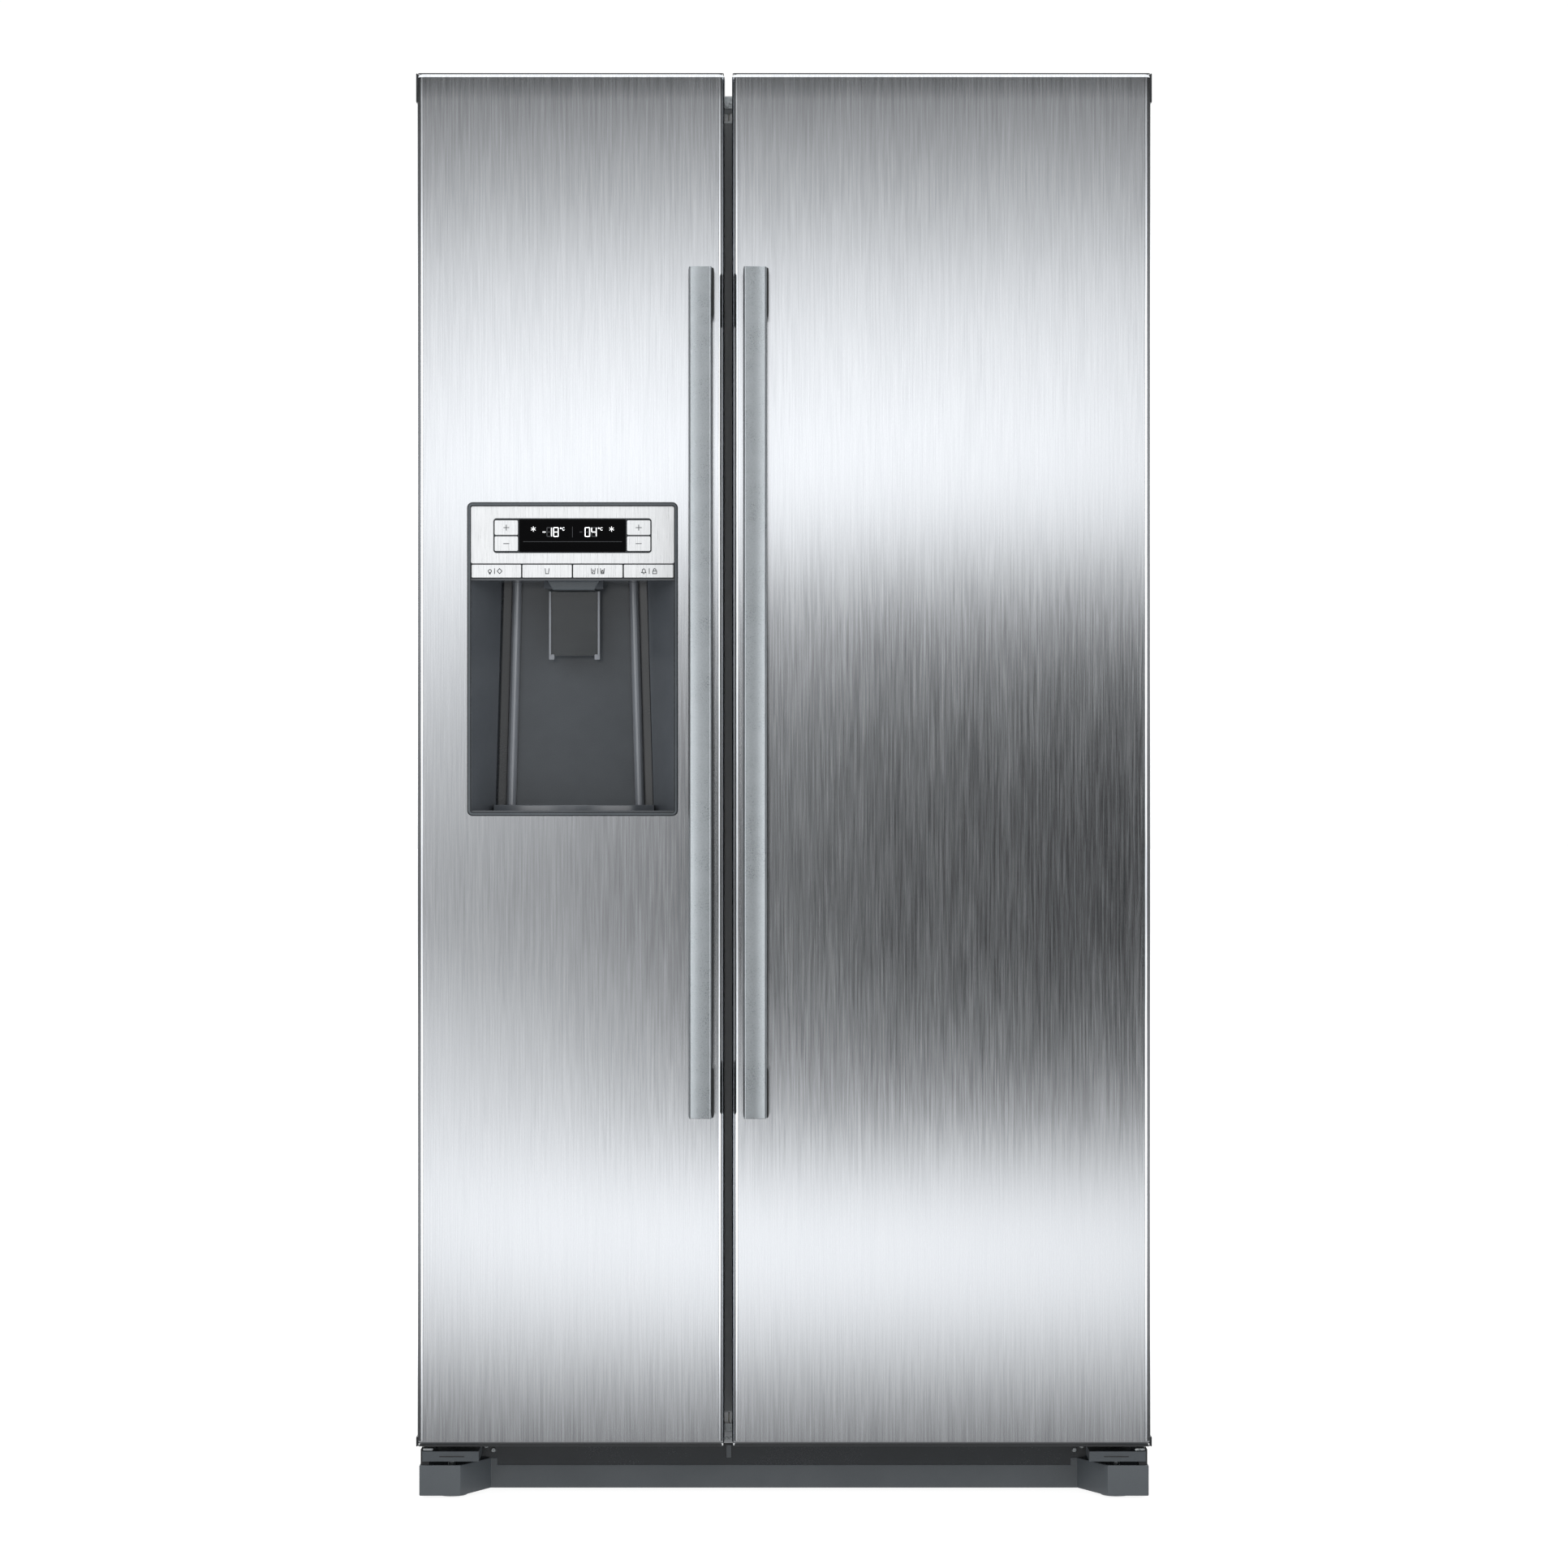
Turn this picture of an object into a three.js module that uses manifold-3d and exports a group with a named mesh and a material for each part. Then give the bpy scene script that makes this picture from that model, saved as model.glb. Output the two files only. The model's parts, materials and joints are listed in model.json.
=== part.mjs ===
// A side-by-side refrigerator: a freezer on the left, a fridge on the right, each behind its own steel door,
// and an ice dispenser set into the freezer door. Sizes are in millimetres. Within the assembly x runs to the
// right from the middle, y runs back from the doors' front face, and z runs up from the floor.

import * as THREE from "three";
import { mergeVertices } from "three/addons/utils/BufferGeometryUtils.js";
import Module from "manifold-3d";

const wasm = await Module();
wasm.setup();

// ---------------------------------------------------------------- driving dimensions

const WIDTH = 910; // over the doors
const HEIGHT = 1770; // floor to the top of the doors
const DEPTH = 720; // doors' front face to the back panel
const GAP = 0.3; // between two pieces that touch
const ARC_STEPS = 5; // straight steps in a round corner

// doors
const FREEZER_DOOR_W = 381;
const DOOR_SPLIT = 9.5; // between the two doors
const DOOR_BOTTOM = 66; // above the floor
const DOOR_BACK = 66; // inner face of the door
const SKIN = 1; // steel sheet of the doors
const EDGE_R = 8; // the skin's upright front edges
const GASKET_W = 12;
const GASKET_T = 14; // from the door's inner face to the case
const GASKET_HINGE_INSET = 16;
const GASKET_FREE_INSET = 8;
const GASKET_BOTTOM_RISE = 10;
const LINER_RAISE = 18; // the inner panel stands into the compartment
const LINER_HINGE_INSET = 58;
const LINER_FREE_GAP = 22; // to the compartment wall, so that the door swings clear
const LINER_END_GAP = 14; // to the compartment's floor and ceiling
const DIKE_W = 20; // upright ribs that hold the bins
const DIKE_RAISE = 34;
const BIN_WALL = 2.5;
const BIN_DEPTH = 81;
const BIN_H = 100;

// case
const CASE_INSET = 2; // the doors stand a little wider than the case
const CASE_BOTTOM = 60;
const CASE_TOP_DROP = 18; // below the doors' top
const SHEET = 1.2;
const CASE_FLANGE = 22; // front face that the gaskets close on
const SIDE_WALL = 50; // outside of the case to the inside of a compartment
const TOP_WALL = 50;
const BACK_WALL = 70;
const MULLION = 64; // insulated wall between the compartments
const FLOOR = 110; // compartment floor
const LINER = 2.5;
const HUMP_TOP = 330; // step over the machine compartment
const HUMP_DEPTH = 210;
const HUMP_WALL = 22;
const RAIL_W = 64; // centre rail between the compartments
const RAIL_BOTTOM = 99;
const RAIL_TOP_DROP = 50;

// hinges
const PIN_R = 5;
const PIN_PLAY = 0.6;
const PIN_INSET = 14; // from the door's outer edge
const PIN_FROM_BACK = 32; // in front of the door's inner face
const PIN_REACH = 30;
const NOTCH_W = 58; // corner of the door cut away for the top hinge
const NOTCH_FRONT = 15;
const NOTCH_H = 34;
const HINGE_PLATE = 5;
const BRACKET_W = 70;
const BRACKET_BOTTOM = 47;
const BRACKET_TOP = 59.4;
const BRACKET_FRONT = 8;

// handles
const HANDLE_W = 28;
const HANDLE_LENGTH = 1048;
const HANDLE_TOP_DROP = 245.5;
const HANDLE_EDGE = 15; // from the door's free edge
const HANDLE_THICK = 21;
const HANDLE_R = 3;
const HANDLE_STANDOFF = 31;
const HANDLE_FOOT_H = 62;
const HANDLE_FOOT_W = 27;
const HANDLE_FOOT_SHIFT = 3; // the feet stand a little to the right of the bar

// dispenser, from the middle and the bottom of its frame
const FRAME_OUTER_MARGIN = 62.2; // from the frame to the freezer door's outer edge
const FRAME_INNER_MARGIN = 57.5; // from the frame to its free edge
const FRAME_H = 389;
const FRAME_BAND = 4.7;
const FRAME_PROUD = 2;
const FRAME_TOP_DROP = 532.7; // below the doors' top
const NICHE_DEPTH = 97.5;
const NICHE_WALL = 2.5;
const NICHE_TOP = 292;
const POCKET_MARGIN = 59.65; // from the frame's outside to the back pocket
const TRAY_RISE = 12;
const BULGE_WALL = 30; // insulation behind the niche
const BULGE_ABOVE = 62;
const BULGE_BELOW = 18;
const PANEL_BACK = 10;
const PANEL_BOTTOM = 313;
const WINDOW_MARGIN = 32.65; // from the frame's outside to the keys and the display
const WINDOW_BOTTOM = 327;
const WINDOW_H = 41;
const KEY_GAP = 1.3;
const KEY_BACK = 7;
const KEY_PROUD = 1;
const TEMP_KEY_W = 29.3;
const FUNCTION_KEY_H = 16.4;
const CHUTE_W = 74;
const CHUTE_WALL = 2.5;
const CHUTE_MOUTH = 283; // lower end of the chute
const CHUTE_FRONT = 26;
const CHUTE_DEEP = 32;
const CHUTE_LEAN = 68;
const PADDLE_W = 58;
const PADDLE_H = 86;
const PADDLE_Y = 62;

// inside
const SHELF_T = 5;
const SHELF_CLEAR = 35; // behind the door bins
const SHELF_TRIM = 14;
const LEDGE = 8;
const DRAWER_CLEAR = 80; // behind the door bins
const DRAWER_WALL = 2.5;
const DRAWER_SIDE_GAP = 4;
const LOWER_DRAWER_H = 188;
const UPPER_DRAWER_Z = 336;
const UPPER_DRAWER_H = 186;
const DRAWER_SHELF_Z = 540;
const FREEZER_SHELF_Z = 900;
const FRIDGE_SHELF_LOW_Z = 800;
const FRIDGE_SHELF_HIGH_DROP = 430; // below the ceiling
const COVER_SPACE = 60; // air space behind the evaporator cover
const COVER_T = 3;
const COVER_BELOW_BUCKET = 31;
const EVAPORATOR_TOP = 770;
const EVAPORATOR_BOTTOM = 430;
const FAN_DROP = 110; // the evaporator's fan below the top of its cover
const DUCT_W = 140;
const DUCT_THICK = 18;
const DUCT_TOP_DROP = 54;
const BUCKET_CLEAR = 30; // behind the dispenser's bulge
const BUCKET_H = 186;
const BUCKET_ABOVE_BULGE = 12;
const ICE_MAKER_DROP = 54;
const ICE_MAKER_H = 90;
const ICE_MAKER_BACK = 50; // from the compartment's back wall
const ICE_MAKER_LENGTH = 270;
const DAIRY_H = 100;
const DAIRY_DROP = 94; // its top below the ceiling
const LID_T = 3;
const LID_LIP = 42;

// base
const CHASSIS_INSET = 7; // inside the case
const CHASSIS_PLATE = 40;
const CHASSIS_T = 2;
const KICK_BOTTOM = 4;
const KICK_TOP = 42;
const KICK_FRONT = 10;
const KICK_WALL = 3;
const KICK_CORNER_W = 51;
const KICK_SLANT = 34;
const KICK_NOTCH = 9;
const FOOT_INSET = 40; // from the door's outer edge
const FOOT_FROM_BACK = 14; // in front of the door's inner face
const FOOT_R = 19;
const FOOT_STEM_R = 5;
const ROLLER_INSET = 53; // from the case's side
const ROLLER_FROM_BACK = 60;
const ROLLER_R = 18;
const ROLLER_W = 22;
const AXLE_R = 4;
const COMPRESSOR_INSET = 213; // its middle from the case's right side
const CONDENSER_INSET = 153; // from the case's left side
const CONDENSER_W = 180;
const FAN_SPACE = 80; // from the condenser to its fan
const FAN_R = 70;
const FAN_BLADES = 5;

// ---------------------------------------------------------------- what follows from them

const half = WIDTH / 2;
const caseHalf = half - CASE_INSET;
const caseFront = DOOR_BACK + GASKET_T;
const caseTop = HEIGHT - CASE_TOP_DROP;
const doorHeight = HEIGHT - DOOR_BOTTOM;
const panelFace = DOOR_BACK + LINER_RAISE;
const binReach = panelFace + BIN_DEPTH;
const skinBack = DOOR_BACK - 2;
const pinBack = DOOR_BACK - PIN_FROM_BACK;
const footX = half - FOOT_INSET;
const footY = DOOR_BACK - FOOT_FROM_BACK;
const rollerX = caseHalf - ROLLER_INSET;
const fridgeDoorW = WIDTH - FREEZER_DOOR_W - DOOR_SPLIT;
const seam = -half + FREEZER_DOOR_W + DOOR_SPLIT / 2;
const ceiling = caseTop - TOP_WALL;
const backWall = DEPTH - BACK_WALL;
const humpFront = backWall - HUMP_DEPTH;
const recessFront = humpFront + HUMP_WALL;
const recessTop = HUMP_TOP - HUMP_WALL;
const freezer = { x0: -caseHalf + SIDE_WALL, x1: seam - MULLION / 2 };
const fridge = { x0: seam + MULLION / 2, x1: caseHalf - SIDE_WALL };
const frameWidth = FREEZER_DOOR_W - FRAME_OUTER_MARGIN - FRAME_INNER_MARGIN;
const frameCentre = FRAME_OUTER_MARGIN + frameWidth / 2;
const frameBottom = HEIGHT - FRAME_TOP_DROP - FRAME_H;
const bulgeBack = NICHE_DEPTH + NICHE_WALL + BULGE_WALL;
const bulgeTop = frameBottom + FRAME_H + BULGE_ABOVE;
const bulgeBottom = frameBottom - BULGE_BELOW;
const coverY = backWall - COVER_SPACE;
const bucketFront = bulgeBack + BUCKET_CLEAR;
const bucketZ = bulgeTop + BUCKET_ABOVE_BULGE;
const coverTop = bucketZ - COVER_BELOW_BUCKET;
const shelfFront = binReach + SHELF_CLEAR;
const drawerFront = binReach + DRAWER_CLEAR;
const fridgeShelfHigh = ceiling - FRIDGE_SHELF_HIGH_DROP;
const dairyTop = ceiling - DAIRY_DROP;
const bottleBinZ = FLOOR + 25;
const freezerBinLow = bulgeBottom - 170;
const freezerBinHigh = ceiling - 160;
const ledgeZ = { drawers: UPPER_DRAWER_Z - GAP, bucket: bucketZ - GAP };

// ---------------------------------------------------------------- materials

function paint(color, roughness, metalness) {
  return new THREE.MeshStandardMaterial({ color, roughness, metalness });
}

const brushedSteel = paint(0xb9bcc0, 0.32, 1);
const aluminium = paint(0xc3c7c9, 0.45, 1);
const greySteel = paint(0x8b8f94, 0.5, 0.3);
const zincSteel = paint(0xa9adb0, 0.4, 0.9);
const whiteLiner = paint(0xf2f3f4, 0.4, 0);
const foam = paint(0xe6d9a8, 0.9, 0);
const darkPlastic = paint(0x3f4448, 0.45, 0);
const rubber = paint(0x6d7175, 0.8, 0);
const panelSilver = paint(0xd9dcde, 0.35, 0.7);
const blackGlass = paint(0x050505, 0.08, 0);
const clearPlastic = paint(0xdfe7ea, 0.12, 0);
const smokedPlastic = paint(0x2a2f31, 0.15, 0);
const shelfGlass = paint(0xcfe0dc, 0.05, 0);
const blackMetal = paint(0x1c1d1f, 0.5, 0.2);
const copper = paint(0xb87352, 0.35, 0.9);

// ---------------------------------------------------------------- solids

function solid(geometry) {
  geometry.deleteAttribute("normal");
  geometry.deleteAttribute("uv");
  const merged = mergeVertices(geometry);
  const vertProperties = merged.attributes.position.array;
  const triVerts = new Uint32Array(merged.index.array);
  return new wasm.Manifold(new wasm.Mesh({ numProp: 3, vertProperties, triVerts }));
}

// A box over the three ranges [low, high]; a range may be given either way round.
function box(x, y, z) {
  const ranges = [x, y, z];
  const size = ranges.map(([a, b]) => Math.abs(b - a));
  const middle = ranges.map(([a, b]) => (a + b) / 2);
  return solid(new THREE.BoxGeometry(...size).translate(...middle));
}

function extrude(points, length) {
  const shape = new THREE.Shape(points.map(([a, b]) => new THREE.Vector2(a, b)));
  return new THREE.ExtrudeGeometry(shape, { depth: length, bevelEnabled: false });
}

// Prisms: an outline of [x, y] points raised along z, of [y, z] points drawn along x, or of [x, z] points
// drawn along y.
function prismZ(points, [z0, z1]) {
  return solid(extrude(points, z1 - z0).translate(0, 0, z0));
}

function prismX(points, [x0, x1]) {
  const turn = new THREE.Matrix4().set(0, 0, 1, x0, 1, 0, 0, 0, 0, 1, 0, 0, 0, 0, 0, 1);
  return solid(extrude(points, x1 - x0).applyMatrix4(turn));
}

function prismY(points, [y0, y1]) {
  const turn = new THREE.Matrix4().set(1, 0, 0, 0, 0, 0, -1, y1, 0, 1, 0, 0, 0, 0, 0, 1);
  return solid(extrude(points, y1 - y0).applyMatrix4(turn));
}

// A round rod along an axis, over a range on it; a and b place it on the other two axes, in order.
function rod(axis, r, [a, b], [from, to], segments = 24) {
  const geometry = new THREE.CylinderGeometry(r, r, Math.abs(to - from), segments);
  const middle = (from + to) / 2;
  if (axis === "x") return solid(geometry.rotateZ(-Math.PI / 2).translate(middle, a, b));
  if (axis === "y") return solid(geometry.translate(a, middle, b));
  return solid(geometry.rotateX(Math.PI / 2).translate(a, b, middle));
}

function add(...solids) {
  return solids.reduce((sum, s) => sum.add(s));
}

function cut(from, ...solids) {
  return solids.reduce((rest, s) => rest.subtract(s), from);
}

// Points of a round corner about a centre, from one angle to the next in degrees.
function corner([cx, cy], r, from, to) {
  return Array.from({ length: ARC_STEPS + 1 }, (_, i) => {
    const angle = THREE.MathUtils.degToRad(from + ((to - from) * i) / ARC_STEPS);
    return [cx + r * Math.cos(angle), cy + r * Math.sin(angle)];
  });
}

// A tub with one wall thickness all round, open at the top.
function tub(x, y, z, wall) {
  const inside = box([x[0] + wall, x[1] - wall], [y[0] + wall, y[1] - wall], [z[0] + wall, z[1] + 1]);
  return box(x, y, z).subtract(inside);
}

function piece(group, name, shape, material) {
  const { numProp, numVert, vertProperties, triVerts } = shape.getMesh();
  const positions = new Float32Array(numVert * 3);
  for (let i = 0; i < numVert; i++) {
    positions.set(vertProperties.subarray(i * numProp, i * numProp + 3), i * 3);
  }
  const geometry = new THREE.BufferGeometry()
    .setAttribute("position", new THREE.BufferAttribute(positions, 3))
    .setIndex(new THREE.BufferAttribute(triVerts, 1));
  geometry.computeVertexNormals();
  const mesh = new THREE.Mesh(geometry, material);
  mesh.name = name;
  group.add(mesh);
  return mesh;
}

// ---------------------------------------------------------------- case

// Painted steel wrap with its back sheet, front flange and the opening of the machine compartment.
function outerCase() {
  const shell = box([-caseHalf, caseHalf], [caseFront, DEPTH], [CASE_BOTTOM, caseTop]);
  const inside = box(
    [-caseHalf + SHEET, caseHalf - SHEET],
    [caseFront + SHEET, DEPTH - SHEET],
    [CASE_BOTTOM - 1, caseTop - SHEET],
  );
  const opening = box(
    [-caseHalf + CASE_FLANGE, caseHalf - CASE_FLANGE],
    [caseFront - 1, caseFront + SHEET + 1],
    [CASE_BOTTOM + CASE_FLANGE, caseTop - CASE_FLANGE],
  );
  const machineDoor = box(
    [-caseHalf + CASE_FLANGE, caseHalf - CASE_FLANGE],
    [DEPTH - SHEET - 1, DEPTH + 1],
    [CASE_BOTTOM - 1, recessTop - 7],
  );
  return cut(shell, inside, opening, machineDoor);
}

// Side view of a compartment as [y, z] points, grown outwards by a margin.
function compartmentProfile(margin, front) {
  return [
    [front, FLOOR - margin],
    [humpFront + margin, FLOOR - margin],
    [humpFront + margin, HUMP_TOP - margin],
    [backWall + margin, HUMP_TOP - margin],
    [backWall + margin, ceiling + margin],
    [front, ceiling + margin],
  ];
}

const linerFront = caseFront + SHEET + GAP;
const foamFront = linerFront + LINER + GAP;

// Inner liner with a front flange; ledges carry what stands at each given height.
function liner({ x0, x1 }, flangeX, ledges) {
  const shell = prismX(compartmentProfile(LINER, linerFront), [x0 - LINER, x1 + LINER]);
  const flange = box(flangeX, [linerFront, linerFront + LINER], [CASE_BOTTOM + 3, caseTop - 3]);
  const room = prismX(compartmentProfile(0, linerFront - 1), [x0, x1]);
  const carriers = ledges.flatMap(([z, y0, y1]) => [
    box([x0 - 1, x0 + LEDGE], [y0, y1], [z - LEDGE, z]),
    box([x1 - LEDGE, x1 + 1], [y0, y1], [z - LEDGE, z]),
  ]);
  return add(cut(add(shell, flange), room), ...carriers);
}

// Foam between the case and the liners, cut away over the machine compartment.
function insulation() {
  const skin = SHEET + GAP;
  const block = box(
    [-caseHalf + skin, caseHalf - skin],
    [foamFront, DEPTH - skin],
    [CASE_BOTTOM + 1.5, caseTop - skin],
  );
  const margin = LINER + GAP;
  const rooms = [freezer, fridge].map(({ x0, x1 }) =>
    prismX(compartmentProfile(margin, foamFront - 1), [x0 - margin, x1 + margin]),
  );
  const machine = box([-half, half], [recessFront, DEPTH + 1], [0, recessTop]);
  return cut(block, ...rooms, machine);
}

function centreRail() {
  return box(
    [seam - RAIL_W / 2, seam + RAIL_W / 2],
    [caseFront, caseFront + SHEET],
    [RAIL_BOTTOM, HEIGHT - RAIL_TOP_DROP],
  );
}

// ---------------------------------------------------------------- base and machine compartment

const rollerY = DEPTH - ROLLER_FROM_BACK;

// Pan under the case, with a front rail, side rails and the cheeks that hold the rear rollers.
function chassis() {
  const w = caseHalf - CHASSIS_INSET;
  const [y0, y1] = [caseFront + 4, DEPTH - 4];
  const top = CASE_BOTTOM - GAP;
  const plate = box([-w, w], [y0, y1], [CHASSIS_PLATE, CHASSIS_PLATE + CHASSIS_T]);
  const frontRail = box([-w, w], [y0, y0 + 3], [CHASSIS_PLATE, top]);
  const sideRails = [-1, 1].map((s) => box([s * w, s * (w - 3)], [y0, y1], [CHASSIS_PLATE, top]));
  const cheeks = [-1, 1].flatMap((s) =>
    [-1, 1].map((side) => {
      const inner = s * rollerX + side * (ROLLER_W / 2 + 1.5);
      return box([inner, inner + side * 3], [rollerY - 14, rollerY + 14], [10, CHASSIS_PLATE + 1]);
    }),
  );
  const reach = rollerX + ROLLER_W;
  const axleHoles = [-1, 1].map((s) =>
    rod("x", AXLE_R + PIN_PLAY, [rollerY, ROLLER_R], [s * (reach - 2 * ROLLER_W), s * reach]),
  );
  return cut(add(plate, frontRail, ...sideRails, ...cheeks), ...axleHoles);
}

// Plan of the kick plate as [x, y] points: two forward corners joined by a set-back middle.
function kickOutline(inset, back) {
  const outer = caseHalf - inset;
  const inner = caseHalf - KICK_CORNER_W + inset / 2;
  const middle = inner - KICK_SLANT;
  const front = KICK_FRONT + inset;
  const setBack = caseFront + inset;
  const left = [
    [-outer, back],
    [-outer, front],
    [-inner, front],
    [-middle, setBack],
  ];
  return [...left, ...left.map(([x, y]) => [-x, y]).reverse()];
}

function kickPlate() {
  const back = caseFront + 12;
  const tall = [KICK_BOTTOM, KICK_TOP];
  const body = prismZ(kickOutline(0, back), tall);
  const inside = prismZ(kickOutline(KICK_WALL, back + 1), [KICK_BOTTOM - 1, KICK_TOP + 1]);
  const clearBack = box([-half, half], [caseFront + KICK_WALL, DEPTH], [0, KICK_TOP + 1]);
  const notchHalf = caseHalf - KICK_CORNER_W - KICK_SLANT - 8;
  const notch = box([-notchHalf, notchHalf], [0, back], [KICK_TOP - KICK_NOTCH, KICK_TOP + 1]);
  return cut(body, inside, clearBack, notch);
}

// Levelling foot: a threaded stem on a round pad.
function foot(side) {
  const x = side * footX;
  const pad = rod("z", FOOT_R, [x, footY], [0, 8]);
  const stem = rod("z", FOOT_STEM_R, [x, footY], [7, BRACKET_TOP - 4], 16);
  return add(pad, stem);
}

function roller(side) {
  const x = side * rollerX;
  const wheel = rod("x", ROLLER_R, [rollerY, ROLLER_R], [x - ROLLER_W / 2, x + ROLLER_W / 2]);
  const axleHalf = ROLLER_W / 2 + 4;
  const axle = rod("x", AXLE_R, [rollerY, ROLLER_R], [x - axleHalf, x + axleHalf], 16);
  return add(wheel, axle);
}

const machineMiddle = (recessFront + DEPTH) / 2;
const machineFloor = CHASSIS_PLATE + CHASSIS_T + GAP;

function compressor() {
  const points = [
    [0, 0],
    [72, 0],
    [84, 22],
    [88, 90],
    [78, 138],
    [48, 162],
    [0, 168],
  ].map(([r, z]) => new THREE.Vector2(r, z));
  const can = solid(new THREE.LatheGeometry(points, 28).rotateX(Math.PI / 2)).translate(0, 0, 12);
  const feet = box([-96, 96], [-60, 60], [6, 16]);
  const bushes = [-1, 1].flatMap((sx) =>
    [-1, 1].map((sy) => rod("z", 9, [sx * 84, sy * 48], [0, 8], 12)),
  );
  return add(can, feet, ...bushes).translate(caseHalf - COMPRESSOR_INSET, machineMiddle, machineFloor);
}

// Fin and tube block: an outline with slots between the fins.
function finBlock(x, y, z, fins) {
  const pitch = (x[1] - x[0]) / fins;
  const slots = Array.from({ length: fins - 1 }, (_, i) => {
    const at = x[0] + pitch * (i + 1);
    return box([at - pitch / 4, at + pitch / 4], [y[0] + 8, y[1] + 1], [z[0] - 1, z[1] + 1]);
  });
  return cut(box(x, y, z), ...slots);
}

function condenser() {
  const x = [-caseHalf + CONDENSER_INSET, -caseHalf + CONDENSER_INSET + CONDENSER_W];
  return finBlock(x, [recessFront + 40, DEPTH - 60], [machineFloor, machineFloor + 190], 12);
}

function fanBlades(r, depth) {
  const hub = rod("z", r * 0.28, [0, 0], [-depth / 2, depth / 2], 20);
  const blades = Array.from({ length: FAN_BLADES }, (_, i) => {
    const blade = solid(new THREE.BoxGeometry(r * 0.8, r * 0.5, 2.5).translate(r * 0.58, 0, 0));
    return blade.rotate([28, 0, 0]).rotate([0, 0, (360 / FAN_BLADES) * i]);
  });
  return add(hub, ...blades);
}

// Rear grille with louvre slots and, low on one side, the gland for the mains lead.
function machineCover() {
  const w = caseHalf - 8;
  const y = [DEPTH - 4, DEPTH - 1.5];
  const plate = box([-w, w], y, [CASE_BOTTOM + 2, recessTop - 1]);
  const slots = [-1, 1].flatMap((s) =>
    Array.from({ length: 6 }, (_, i) => {
      const z = CASE_BOTTOM + 60 + 26 * i;
      return box([s * 60, s * 320], [DEPTH - 10, DEPTH + 1], [z, z + 8]);
    }),
  );
  const [gx, gz] = [-(w - 60), CASE_BOTTOM + 60];
  const gland = rod("y", 11, [gx, gz], [DEPTH - 16, DEPTH]);
  const bore = rod("y", 4.5, [gx, gz], [DEPTH - 20, DEPTH + 1], 16);
  return cut(add(plate, gland), ...slots, bore);
}

// ---------------------------------------------------------------- hinges

// side is -1 for the freezer door's hinges on the left and 1 for the fridge door's on the right.
const pinX = (side) => side * (half - PIN_INSET);

function topHinge(side) {
  const x = pinX(side);
  const plateZ = [caseTop + GAP, caseTop + GAP + HINGE_PLATE];
  const plate = box([x + side * 8, x - side * 40], [pinBack - 8, caseFront + 60], plateZ);
  const pin = rod("z", PIN_R, [x, pinBack], [plateZ[0] - PIN_REACH, plateZ[0] + 1]);
  const studHead = rod("z", 6, [x - side * 20, caseFront + 40], [plateZ[0], plateZ[1] + 4], 6);
  return add(plate, pin, studHead);
}

function bottomHinge(side) {
  const x = pinX(side);
  const outer = x + side * 8;
  const deep = [BRACKET_FRONT, caseFront + 3.6];
  const bracket = box([outer, outer - side * BRACKET_W], deep, [BRACKET_BOTTOM, BRACKET_TOP]);
  const pin = rod("z", PIN_R, [x, pinBack], [BRACKET_TOP - 1, DOOR_BOTTOM + PIN_REACH - 2]);
  const collar = rod("z", PIN_R + 4, [x, pinBack], [BRACKET_TOP - 1, DOOR_BOTTOM - 1]);
  const stemHole = rod("z", FOOT_STEM_R + PIN_PLAY, [side * footX, footY], [0, DOOR_BOTTOM], 16);
  return add(cut(bracket, stemHole), pin, collar);
}

// ---------------------------------------------------------------- doors
// A door's own frame starts at its outer bottom front corner. u runs from the hinge edge to the free edge: to
// the right on the freezer door (toFree = 1), to the left on the fridge door (toFree = -1).

const notchBottom = doorHeight - NOTCH_H;

// Plan of a door with round front corners, drawn in from its outside by an inset.
function doorPlan(toFree, width, inset, back) {
  const r = EDGE_R - inset;
  const points = [
    [inset, back],
    ...corner([EDGE_R, EDGE_R], r, 180, 270),
    ...corner([width - EDGE_R, EDGE_R], r, 270, 360),
    [width - inset, back],
  ];
  return points.map(([u, y]) => [toFree * u, y]);
}

function doorSkin(toFree, width) {
  const pan = prismZ(doorPlan(toFree, width, 0, skinBack), [0, doorHeight]);
  const inside = prismZ(doorPlan(toFree, width, SKIN, skinBack + 1), [SKIN, doorHeight - SKIN]);
  const notchZ = [notchBottom, doorHeight + 1];
  const notch = box([-toFree, toFree * NOTCH_W], [NOTCH_FRONT, skinBack + 1], notchZ);
  const x = toFree * PIN_INSET;
  const pinHole = rod("z", PIN_R + 5, [x, pinBack], [-1, 5]);
  return cut(pan, inside, notch, pinHole);
}

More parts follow.
